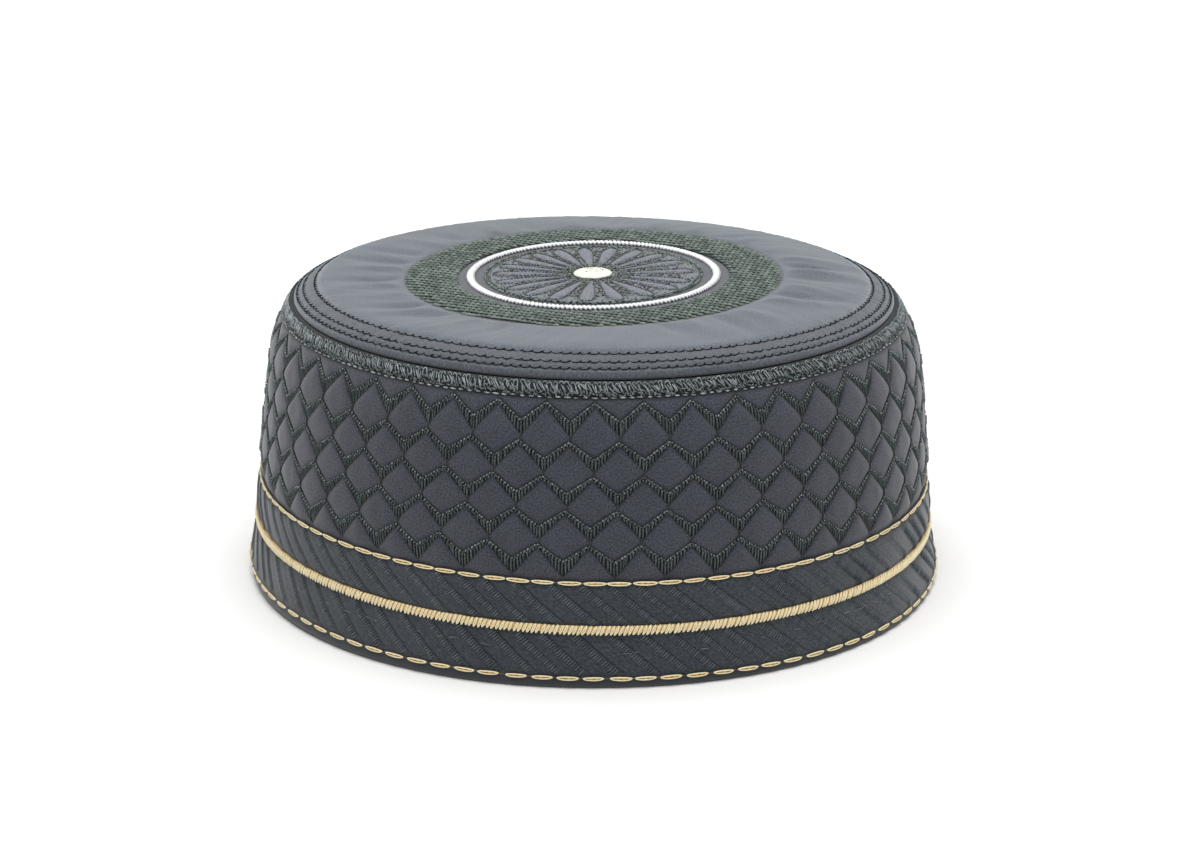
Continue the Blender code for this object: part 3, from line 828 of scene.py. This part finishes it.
def ribbed_band():
    """The band's cloth with its plain hem; each rib is ten columns wide."""
    across = 10
    table = smooth_rows(BAND_PROFILE, 2)
    height, base, share = table[:, :1], table[:, 1:2], np.clip(table[:, 2:3], 0, 1)
    inner_height, inner_radius = BAND_INSIDE[:, :1], BAND_INSIDE[:, 1:]
    count = np.arange(RIB_COUNT * across + 1) / across
    rib = count[None, :-1]
    deg = rib_turn(rib, height)
    slack = 0.10 * wobble(deg, 7, (6, 22)) * ramp(height, 1.0, 6.0)
    inner = place(inner_radius, rib_turn(rib, inner_height), inner_height)
    points = np.concatenate((place(base + slack, deg, height), inner))
    uv = np.stack(np.broadcast_arrays(count, np.vstack((height, inner_height))), -1)
    # The same mark gives the hem, below about 3 mm, a plain colour of its own.
    seam, ribbed, rib, _ = np.broadcast_arrays(1.0 - ramp(height, 2.4, 3.4), share, rib, deg)
    mesh = cloth_shell("ribbed_cloth", points, uv, wrap_rows=True,
                       marks={"seam": seam, "ribbed": ribbed, "rib": rib, "face": outward(deg)})
    return wear(grow("ribbed_cloth", mesh, RIBBING, Finish=BAND_CLOTH), "band_cloth", "ribbed_band")


def rope_stitches():
    """Close slanting stitches across each rope, above and below the middle gold line."""
    rng = default_rng(21)
    levels = np.concatenate([np.arange(low, high, ROPE_STITCH_PITCH) for low, high in ((4.6, 12.9), (16.2, 25.3))])
    rib, level = (v.ravel() for v in np.meshgrid(np.arange(RIB_COUNT), levels, indexing="ij"))
    level = level + rng.uniform(-0.03, 0.03, rib.size)
    deg = rib_turn(rib + ROPE_MIDDLE, level) + rng.uniform(-0.03, 0.03, rib.size)
    half = 0.45 + rng.uniform(-0.03, 0.03, rib.size)
    rise = 0.62 + rng.uniform(-0.06, 0.06, rib.size)
    radius = band_radius(level) + 0.26
    places = spots((radius, deg - half, level - rise), (radius, deg + half, level + rise), outward(deg), 0.40, 0.36)
    ob = sew("rope_stitches", places, RIB_THREAD, Arch=0.45, Taper=0.5, Steps=2, Sides=4, Seed=9, Unevenness=0.06)
    return wear(ob, "band_cloth")


def tacking_thread():
    """The loose tacking thread that wanders round the band's lower half."""
    rng = default_rng(31)
    deg = np.cumsum(rng.uniform(1.6, 4.6, 110))
    deg = deg[(deg < 358.0) & (rng.uniform(0, 1, 110) < 0.7)]
    level = 9.6 + 0.6 * wobble(deg, 32, (2, 7)) + rng.uniform(-0.2, 0.2, len(deg))
    long = rng.uniform(0.5, 1.5, len(deg))
    radius = band_radius(level) + 0.45
    end = (radius, deg + long, level + rng.uniform(-0.25, 0.45, len(deg)))
    places = spots((radius, deg, level), end, outward(deg), 0.16, 0.16)
    return wear(sew("tacking_thread", places, TACK_THREAD, Arch=0.4, Seed=4), "band_cloth")


# Gold lines


def gold_chain(name, radius, height, long, slot, node, seed):
    """A line of chain stitches with a stitch of painted shade in each link's slit, each joined to the next by a small
    dark tie.
    """
    rng = default_rng(seed)
    deg = around(rng, GOLD_LINKS, 0.05)
    tip = rng.uniform(-0.05, 0.05, GOLD_LINKS)
    ends = (radius, deg - 1.0, height + tip), (radius, deg + 1.0, height - tip)
    size = rng.uniform(0.96, 1.04, GOLD_LINKS)
    chain = sew(name + "_links", spots(*ends, outward(deg), size=size), GOLD_THREAD, LINKS,
                Length=long * MM, Opening=0.36 * MM, Rise=0.3 * MM, Thickness=0.74 * MM, Taper=0.5, Steps=10,
                Sides=6, Bluntness=0.85, Seed=seed, Unevenness=0.03)
    # Painted shade: a brownish stitch lies in the slit of each link, standing in for the shade inside it.
    fill = sew(name + "_filling", spots(*ends, outward(deg), 0.5, 0.45), GOLD_SHADE, Arch=0.35, Taper=0.8, Steps=4,
               Seed=seed)
    gap = 360.0 / GOLD_LINKS
    reach = math.degrees(long / 2.0 / radius) * 0.96
    tied = spots((radius - 0.1, deg + reach, height), (radius - 0.1, deg + gap - reach, height),
                 outward(deg + gap / 2), 0.30, 0.30, 0.1)
    ties = sew(name + "_ties", tied, TIE_THREAD, Arch=0.2, Taper=0.2, Seed=seed + 1)
    return wear(join(name, chain, fill, ties), slot, node)


def gold_cord():
    """The middle gold line: close looped threads that lean to the right over a flat cord."""
    core = core_ring("gold_core", CORD_CORE, GOLD_CORE, CORD_FLAT_STEP)
    rng = default_rng(41)
    deg = around(rng, CORD_LOOPS, 0.12)
    lean = 0.33 + rng.uniform(-0.06, 0.06, CORD_LOOPS)
    places = spots((CORD_RADIUS, deg - lean, CORD_LOW), (CORD_RADIUS, deg + lean, CORD_HIGH), outward(deg),
                   size=rng.uniform(0.94, 1.05, CORD_LOOPS))
    loops = sew("gold_loops", places, GOLD_SATIN, LINKS, Length=2.5 * MM, Opening=0.22 * MM, Rise=0.28 * MM,
                Thickness=0.58 * MM, Taper=0.35, Steps=5, Sides=5, Seed=12, Unevenness=0.03)
    return wear(join("middle_gold_line", core, loops), "gold_cord_thread", "gold_cord_middle")


# Braid under the crown's lip


def braid():
    """Hoops along the top, legs that hang from them, a net of short threads below and a line at the foot."""
    rng = default_rng(51)
    core = core_ring("braid_core", BRAID_SECTION, BRAID_CORE, BRAID_STEP)

    def on(deg, level, lift):
        return np.interp(level, BRAID_FACE[:, 1], BRAID_FACE[:, 0]) + lift, deg, level

    count = BRAID_HOOPS
    deg = around(rng, count, 0.2)
    top = BRAID_TOP + rng.uniform(-0.1, 0.15, count)
    hoops = spots(on(deg - 0.3, top, 0.2), on(deg + 0.3, top - 0.1, 0.2), outward(deg, 0.45),
                  size=rng.uniform(0.85, 1.15, count))
    count = BRAID_LEGS
    deg = around(rng, count, 0.35)
    top = BRAID_TOP + rng.uniform(-0.35, 0.25, count)
    foot = top - rng.uniform(1.1, 1.9, count)
    slant = 0.55 + rng.uniform(-0.5, 0.5, count)
    legs = spots(on(deg, top, 0.25), on(deg + slant, foot, 0.22), outward(deg, 0.45), 0.33, 0.38)
    count = BRAID_NET
    deg = around(rng, count, 0.5)
    level = 70.95 + 1.5 * rng.uniform(0, 1, count) ** 1.3
    way = np.radians(-55.0 + rng.normal(0, 38.0, count))
    long = rng.uniform(0.3, 0.5, count)
    turn, rise = np.cos(way) * long / BRAID_STEP, np.sin(way) * long
    net = spots(on(deg - turn, level - rise, 0.22), on(deg + turn, level + rise, 0.22), outward(deg, 0.3), 0.31, 0.38)
    count = BRAID_FOOT
    deg = around(rng, count, 0.08)
    reach = rng.uniform(0.32, 0.60, count)
    low = 70.6 + rng.uniform(-0.1, 0.1, count)
    foot_line = spots(on(deg - reach, low, 0.2), on(deg + reach, low - 0.06, 0.2), outward(deg), 0.46, 0.42)
    return wear(join(
        "braid_threads", core,
        sew("braid_hoops", hoops, BRAID_THREAD, LINKS, Length=0.95 * MM, Opening=0.55 * MM, Rise=0.15 * MM,
            Thickness=0.32 * MM, Bluntness=0.9, Closed=False, Taper=0.3, Steps=5, Sides=4, Seed=3),
        sew("braid_legs", legs, BRAID_THREAD, Arch=0.35, Taper=0.4, Sides=4, Seed=1, Unevenness=0.12),
        sew("braid_net", net, BRAID_SHADE, Arch=0.4, Steps=2, Sides=4, Seed=2, Unevenness=0.12),
        sew("braid_foot", foot_line, BRAID_THREAD, Arch=0.3, Taper=0.6, Sides=5, Seed=6),
    ), "braid_thread", "braid_band")


# Crown


def gather_height(radius, deg):
    """Height of the gathers, which widen and fade as they run out from the medallion."""
    total = np.zeros(np.broadcast_shapes(np.shape(radius), np.shape(deg)))
    out = np.maximum(0.0, radius - 51.0)
    for angle, half, height, reach, drift in GATHERS:
        away = (deg - angle - drift * out + 180.0) % 360.0 - 180.0
        width = half * (1.0 + out / 40.0)
        total += GATHER_STRENGTH * height * np.exp(-(away / width) ** 2 - (out / reach) ** 2)
    return total


def crown():
    """The crown from its underside over the lip to the seat, in three cloths: shoulder, top and seat. The top's cloth
    is the wall's fabric in a lit copy, painted lighter with more sheen for the light that falls on it from above; the
    shoulder's is a copy of it with its own colour and less sheen that paints the darker shade there.
    """
    columns = 432
    deg = np.arange(columns)[None, :] * 360.0 / columns
    table = smooth_rows(CROWN_PROFILE, 4)
    radius, height, share, pucker = (table[:, i:i + 1] for i in range(4))
    share, pucker = np.clip(share, 0, 1), np.clip(pucker, 0, 1)
    ripple = 0.09 * wobble(deg, 61, (90, 200), 14) + 0.07 * wobble(deg + radius * 0.6, 62, (40, 90), 10)
    swell = 0.12 * wobble(deg, 63, (4, 14)) * ramp(radius, 52.0, 60.0) * (1.0 - ramp(radius, 68.0, 74.0))
    fine = 0.06 * wobble(deg + radius * 0.25, 64, (40, 90), 10) * ramp(radius, 51, 54)
    lifted = height + share * (gather_height(radius, deg) + fine) + pucker * ripple + swell
    under = CROWN_UNDER[:, :1]
    points = np.concatenate((place(under, deg, CROWN_UNDER[:, 1:]), place(radius + 0.5 * pucker * ripple, deg, lifted),
                             place(SEAT_RADII, deg, SEAT_HEIGHT)))
    steps = np.hypot(*np.diff(table[:, :2], axis=0).T)
    reach = table[-1, 0] + np.append(np.cumsum(steps[::-1])[::-1], 0.0)[:, None]
    ob = dressed("crown_top", points, plan_flat(np.concatenate((under, reach, SEAT_RADII)), deg[0]), LIT_CROWN_CLOTH)
    mesh = ob.data
    mesh.materials.append(MEDALLION_GROUND)
    mesh.materials.append(SHADED_SHOULDER_CLOTH)
    rows = np.repeat(np.arange(len(points) - 1), columns)
    index = np.zeros(len(mesh.polygons), np.int32)
    # The underside and the shoulder, out past SHOULDER_RADIUS, take the copy of the top's cloth that paints the
    # shoulder's shade; the seat takes the medallion's ground.
    index[:len(rows)][rows < len(under) + (radius > SHOULDER_RADIUS).sum()] = 2
    index[:len(rows)][rows >= len(under) + len(table) - 2] = 1
    index[len(rows) + columns:] = 1
    mesh.polygons.foreach_set("material_index", index)
    return wear(ob, "crown_cloth", "crown")


def top_stitching():
    """Three rows of dark stitches round the shoulder, sagging a little between their needle holes."""
    sags, holes = [], []
    rng = default_rng(71)
    for radius, height, count in STITCH_ROWS:
        deg = around(rng, count, 0.1)
        half = 360.0 / count * 0.42
        at = deg + 180.0 / count
        sags.append(spots((radius, deg - half, height + 0.06), (radius, deg + half, height + 0.06),
                          outward(deg, 1.0), 0.34, 0.24, 0.1))
        holes.append(spots((radius + 0.2, at - 0.24, height + 0.04), (radius - 0.4, at + 0.2, height + 0.24),
                           outward(at, 1.0), 0.40, 0.24, 0.1))
    line = sew("stitch_lines", np.vstack(sags), DARK_THREAD, Bow=-0.9, Arch=0.15, Taper=0.3, Steps=4, Sides=4, Seed=15)
    dots = sew("stitch_dots", np.vstack(holes), DARK_THREAD, Arch=0.1, Taper=0.5, Sides=4, Seed=16, Unevenness=0.2)
    return wear(join("top_stitching", line, dots), "crown_cloth")


# Medallion


def green_ring():
    """Fat stitches laid like bricks in slanting rows on a thin pad, with dark holes where they meet."""
    deg = np.arange(0.0, 360.0, 1.5)
    base = PAD_HEIGHT
    section = np.array(((36.2, base), (36.7, base + 0.25), (49.2, base + 0.2), (50.0, base)))
    pad = dressed("green_pad", place(section[:, :1], deg, section[:, 1:]), plan_flat(section[:, :1], deg),
                  GREEN_GROUND, wrap_rows=True)
    rng = default_rng(81)
    along, step = np.array((1.30, -0.66)), np.array((0.50, 2.20))
    count = np.arange(-60, 61)
    i, j = (v.ravel()[:, None] for v in np.meshgrid(count, count))
    x, y = ((i - (0.33 * j).round()) * along + j * step + rng.uniform(-0.10, 0.10, (i.size, 2))).T
    radius = np.hypot(x, y)
    kept = (radius > 36.5) & (radius < 50.0)
    at, radius = np.degrees(np.arctan2(x, -y))[kept], np.clip(radius[kept], 37.0, 49.4)
    level = base + 0.35 - 0.25 * ramp(radius, 47.6, 49.4) - 0.15 * (1.0 - ramp(radius, 37.0, 38.2))
    lot = spots((radius, at - 0.01, level), (radius, at + 0.01, level), UP, 2.0, 0.62)
    # Every brick points the same way and has the same length, so both replace what the two ends gave
    lot[:, 3:5] = along / np.hypot(*along)
    lot[:, 5] = 0.0
    lot[:, 9] = 1.62 * MM
    threads = sew("green_bricks", lot, GREEN_THREAD, Arch=0.25, Taper=0.62, Steps=4, Sides=6, Seed=25, Unevenness=0.07)
    return wear(join("green_stitches", pad, threads), "green_thread", "green_ring")


def white_ring():
    """A thick white cord of slanting stitches."""
    count = WHITE_STITCHES
    rng = default_rng(91)
    deg = around(rng, count, 0.06)
    level = SEAT_HEIGHT + 0.45
    inner, outer = ((radius + rng.uniform(-0.06, 0.06, count), deg + turn, level)
                    for radius, turn in ((31.9, -0.75), (33.7, 0.75)))
    ob = sew("white_satin", spots(inner, outer, UP, 1.22, 0.95, 0.2), WHITE_THREAD, Arch=0.3, Taper=0.45, Steps=4,
             Sides=6, Seed=35, Unevenness=0.03)
    return wear(ob, "white_thread", "white_ring")


def rope_ring():
    """Two rows of short dark and pale stitches round the rosette."""
    rng = default_rng(101)
    level = SEAT_HEIGHT + 0.36
    lots = []
    for radius, width, shift in ((28.8, 0.85, 0.0), (27.75, 0.7, 0.5)):
        deg = around(rng, ROPE_STITCHES, 0.12, shift)
        lots.append(spots((radius - 0.15, deg - 1.3, level), (radius + 0.15, deg + 1.3, level), UP, width, 0.6))
    ob = sew("dark_rope", np.vstack(lots), ROPE_THREAD, Arch=0.35, Taper=0.6, Sides=5, Seed=45, Unevenness=0.12)
    return wear(ob, "rope_thread", "rope_ring")


def petal_puff(radius, deg):
    """Height of the puffed petals and of the small wedges between their ends."""
    ends = np.append(PETAL_ANGLES, PETAL_ANGLES[0] + 360.0)
    turn = (deg - ends[0]) % 360.0 + ends[0]
    i = np.searchsorted(ends, turn, side="right") - 1
    before, after = turn - ends[i], ends[i + 1] - turn
    side = np.radians(np.minimum(before, after)) * radius
    half = np.interp(radius, PETAL_SHAPE[:, 0], PETAL_SHAPE[:, 1], left=0.0, right=0.0)
    petal = np.sqrt(np.clip(1.0 - (side / np.maximum(half, 1e-3)) ** 2, 0.0, 1.0)) * np.clip(half / 1.2, 0, 1)
    gap = np.radians(np.abs(before - after) / 2) * radius
    room = np.radians((before + after) / 2) * radius - half - 0.9
    wedge = np.clip(room / 1.2, 0, 1) * np.clip(1.0 - (gap / np.maximum(room, 1e-3)) ** 2, 0, 1) ** 0.5
    return petal + 0.6 * wedge * ramp(radius, 22.0, 24.0) * (1.0 - ramp(radius, 26.6, 27.3))


def petal_outlines():
    """Stitches round each petal, a little outside its edge."""
    r = np.concatenate((PETAL_SHAPE[:, 0], PETAL_SHAPE[-2::-1, 0]))
    r = r + np.where(r > 25.5, 0.4, 0.0)
    half = PETAL_SHAPE[:, 1] + np.array((0.2, 0.35, 0.42, 0.45, 0.45, 0.45, 0.45, 0.0))
    aside = np.concatenate((half, -half[-2::-1]))
    dense = np.linspace(0, len(r) - 1, 60)
    lots = []
    for angle in PETAL_ANGLES:
        at = angle + np.degrees(aside / r)
        path = place(*(np.interp(dense, range(len(r)), v) for v in (r, at)), PAD_HEIGHT + 0.45)
        lots.append(between(*run_of_stitches(path, PETAL_STITCHES, 0.66), UP, 0.44, 0.4, 0.1))
    return sew("petal_outlines", np.vstack(lots), PETAL_THREAD, Arch=0.4, Taper=0.5, Steps=2, Sides=4, Seed=55,
               Unevenness=0.15)


def seed_stitches():
    """Short stitches scattered between the petals, and closer together round the button."""
    rng = default_rng(111)
    r = np.sqrt(rng.uniform(8.0 ** 2, 26.8 ** 2, LOOSE_SEEDS))
    at = rng.uniform(0, 360, LOOSE_SEEDS)
    away = np.abs((at[:, None] - PETAL_ANGLES + 180.0) % 360.0 - 180.0).min(1)
    clear = np.radians(away) * r > np.interp(r, PETAL_SHAPE[:, 0], PETAL_SHAPE[:, 1]) + 0.75
    r = np.append(r[clear], np.sqrt(rng.uniform(5.0 ** 2, 10.5 ** 2, CLOSE_SEEDS)))
    at = np.append(at[clear], rng.uniform(0, 360, CLOSE_SEEDS))
    spin = np.degrees(rng.uniform(-0.4, 0.4, len(r)) / r)
    reach = rng.uniform(-0.2, 0.4, len(r))
    level = PAD_HEIGHT + 0.42
    places = spots((r - reach, at - spin, level), (r + reach, at + spin, level), UP, 0.42, 0.45, 0.25)
    return sew("seed_stitches", places, SEED_THREAD, Arch=0.4, Steps=2, Sides=4, Seed=56, Unevenness=0.2)


def rosette():
    """Puffed petal cloth on the seat, with its stitches."""
    deg = np.arange(0.0, 360.0, 0.9)[None, :]
    radius = np.concatenate((np.linspace(27.6, 22.0, 12), np.linspace(21.2, 5.0, 16), (3.0, 1.0)))[:, None]
    under = np.array(((1.0,), (14.0,), (27.5,)))
    top = place(radius, deg, PAD_HEIGHT + 0.3 + 0.5 * petal_puff(radius, deg))
    ground = dressed("petal_cloth", np.concatenate((place(under, deg, PAD_HEIGHT), top)),
                     plan_flat(np.concatenate((under, radius)), deg[0]), ROSETTE_CLOTH)
    return wear(join("rosette_petals", ground, petal_outlines(), seed_stitches()), "rosette_cloth", "rosette")


def centre_button():
    """A cream button covered with threads that run to its middle."""
    floor = SEAT_HEIGHT + 0.4
    deg = np.arange(96)[None, :] * 3.75
    table = smooth_rows(BUTTON_PROFILE, 4)
    radius, middle = table[:, :1], np.array(((0.5,),))
    ripple = 0.07 * (np.cos(np.radians(deg) * 32) + 0.6 * wobble(deg, 121, (3, 30))) * ramp(radius, 0.8, 4.0)
    top = place(radius + ripple, deg, floor + table[:, 1:] + ripple)
    points = np.concatenate((place(middle, deg, floor), top)) + np.array((-0.25, -0.3, 0.0)) * MM
    cover = dressed("button_cover", points, plan_flat(np.concatenate((middle, radius)), deg[0]), BUTTON_CLOTH)
    rng = default_rng(122)
    r, at = np.sqrt(rng.uniform(0.1, 6.0, 16)), rng.uniform(0, 360, 16)
    places = spots((r, at, floor + 1.12), (r + 0.35, at + 4.0, floor + 1.12), UP, 0.22, 0.12)
    eyes = sew("button_eyes", places, TIE_THREAD, Arch=0.3, Steps=2, Sides=4)
    return wear(join("cream_button", cover, eyes), "button_cream", "centre_button")


# Surroundings


def studio():
    """A pale floor under a wide soft light from above."""
    mesh = bpy.data.meshes.new("floor")
    mesh.from_pydata([(-4, -4, -0.0001), (4, -4, -0.0001), (4, 4, -0.0001), (-4, 4, -0.0001)], [], [(0, 1, 2, 3)])
    mat, _, shader = new_material("pale floor")
    shader.inputs["Base Color"].default_value = (0.92, 0.92, 0.92, 1.0)
    shader.inputs["Roughness"].default_value = 0.8
    shader.inputs["Specular IOR Level"].default_value = 0.1
    mesh.materials.append(mat)
    new_object("floor", mesh)
    scene = bpy.context.scene
    scene.world = bpy.data.worlds.new("studio")
    scene.world.use_nodes = True
    sky = scene.world.node_tree.nodes["Background"]
    sky.inputs["Color"].default_value = WHITE
    sky.inputs["Strength"].default_value = 0.32
    lamp = bpy.data.lights.new("overhead", "SUN")
    lamp.energy = 3.1
    lamp.angle = math.radians(60.0)
    new_object("overhead", lamp)
    scene.view_settings.view_transform = "Standard"


def camera():
    """The photograph's view: an 85 mm lens, 0.77 m away, 18.4 degrees above level."""
    data = bpy.data.cameras.new("camera")
    data.sensor_width = SENSOR_WIDTH
    data.lens = SENSOR_WIDTH * FOCAL_PIXELS / PHOTO_WIDTH
    ob = new_object("camera", data)
    ob.location = CAMERA_PLACE
    ob.rotation_euler = (math.radians(90.0 - CAMERA_DIP), 0.0, 0.0)
    bpy.context.scene.camera = ob


# Finishes: the darkest and the lightest colour of each

# The wall's second colour is painted shade with a dark line beside its seams; the band's is its hem's plain colour.
WALL_CLOTH = cloth_finish("wall cloth", (41, 43, 51), (80, 83, 93), seam=(20, 25, 27), sheen=0.35, grain=2.3)
# The crown's top cloth is the wall's fabric painted lighter, a lit copy with full sheen; the shoulder's is a copy of
# it in painted shade.
LIT_CROWN_CLOTH = cloth_finish("crown cloth", (58, 63, 72), (107, 113, 123), sheen=1.0, grain=1.8, glint=COOL_GLINT)
SHADED_SHOULDER_CLOTH = cloth_finish("shoulder cloth painted shade", (72, 76, 83), (104, 108, 115), sheen=0.5, grain=1.8, glint=COOL_GLINT)
MEDALLION_GROUND = cloth_finish("medallion ground", (48, 51, 60), (86, 90, 101), sheen=0.8, grain=1.1)
BAND_CLOTH = cloth_finish("band cloth", (36, 41, 48), (72, 78, 85), sheen=0.4, holes=(8, 12, 15), seam=(58, 61, 65))
ROSETTE_CLOTH = cloth_finish("rosette cloth", (74, 80, 92), (129, 135, 147), sheen=0.8, grain=1.0)
GREEN_GROUND = cloth_finish("green ground", (28, 38, 33), (42, 54, 46), sheen=0.3)
BRAID_CORE = cloth_finish("braid core", (26, 31, 33), (44, 50, 52), sheen=0.2)
GOLD_CORE = cloth_finish("gold core", (216, 178, 116), (244, 212, 152), sheen=0.3, rough=0.6)
RIBBON_THREAD = thread_finish("ribbon thread", (38, 47, 49), (84, 96, 96), uneven=0.7)
RIBBON_KNOT = thread_finish("ribbon knot", (16, 23, 24), (38, 50, 48))
# The edging's two threads are the ribbon's thread painted lighter: a highlight for the upper row, a dimmer half shade
# for the lower.
EDGE_HIGHLIGHT_THREAD = thread_finish("edge thread painted highlight", (74, 84, 87), (148, 159, 160), uneven=1.0)
EDGE_SHADE = thread_finish("edge shade", (48, 58, 60), (120, 131, 132), uneven=1.0)
RIB_THREAD = thread_finish("rib thread", (42, 50, 56), (99, 109, 117), painted_strand_shade=0.1, uneven=0.6)
TACK_THREAD = thread_finish("tacking thread", (96, 96, 100), (140, 140, 142))
BRAID_THREAD = thread_finish("braid thread", (96, 105, 109), (172, 180, 182), uneven=0.9)
BRAID_SHADE = thread_finish("braid shade", (50, 58, 61), (132, 141, 142), uneven=1.0)
DARK_THREAD = thread_finish("dark thread", (8, 9, 12), (22, 24, 29), sheen=0.0, gloss=0.1)
GILT = {"rough": 0.42, "gloss": 0.5, "sheen": 1.0, "glint": WARM_GLINT}
GOLD_THREAD = thread_finish("gold thread", (252, 226, 168), (255, 245, 206), uneven=0.4, **GILT)
GOLD_SATIN = thread_finish("gold satin", (252, 228, 174), (255, 247, 212), uneven=0.3, **GILT)
GOLD_SHADE = thread_finish("gold shade", (150, 112, 62), (232, 196, 132), uneven=0.3, painted_strand_shade=0.5, twists=0.6)
TIE_THREAD = thread_finish("tie thread", (48, 34, 22), (110, 84, 54))
GREEN_THREAD = thread_finish("green thread", (61, 74, 68), (124, 137, 129), uneven=0.7, twists=0.7)
WHITE_THREAD = thread_finish("white thread", (236, 239, 243), (255, 255, 255), uneven=0.2, painted_strand_shade=0.12, sheen=0.4)
ROPE_THREAD = thread_finish("rope thread", (28, 38, 36), (128, 142, 136), uneven=1.0)
PETAL_THREAD = thread_finish("petal thread", (28, 37, 35), (96, 108, 104), uneven=1.0)
SEED_THREAD = thread_finish("seed thread", (36, 46, 42), (136, 146, 138), uneven=1.0)
BUTTON_CLOTH = cloth_finish("button cloth", (222, 224, 208), (247, 249, 240), pitch=0.3, sheen=0.2)

quilted_wall()
ribbon_threads()
ribbon_edging()
ribbed_band()
rope_stitches()
tacking_thread()
gold_chain("upper_gold_line", 90.15, 26.15, 5.55, "gold_chain_thread", "gold_chain_upper", 17)
gold_cord()
gold_chain("lower_gold_line", 93.55, 3.15, 5.1, "gold_hem_thread", "gold_chain_lower", 19)
braid()
crown()
top_stitching()
green_ring()
white_ring()
rope_ring()
rosette()
centre_button()
studio()
camera()
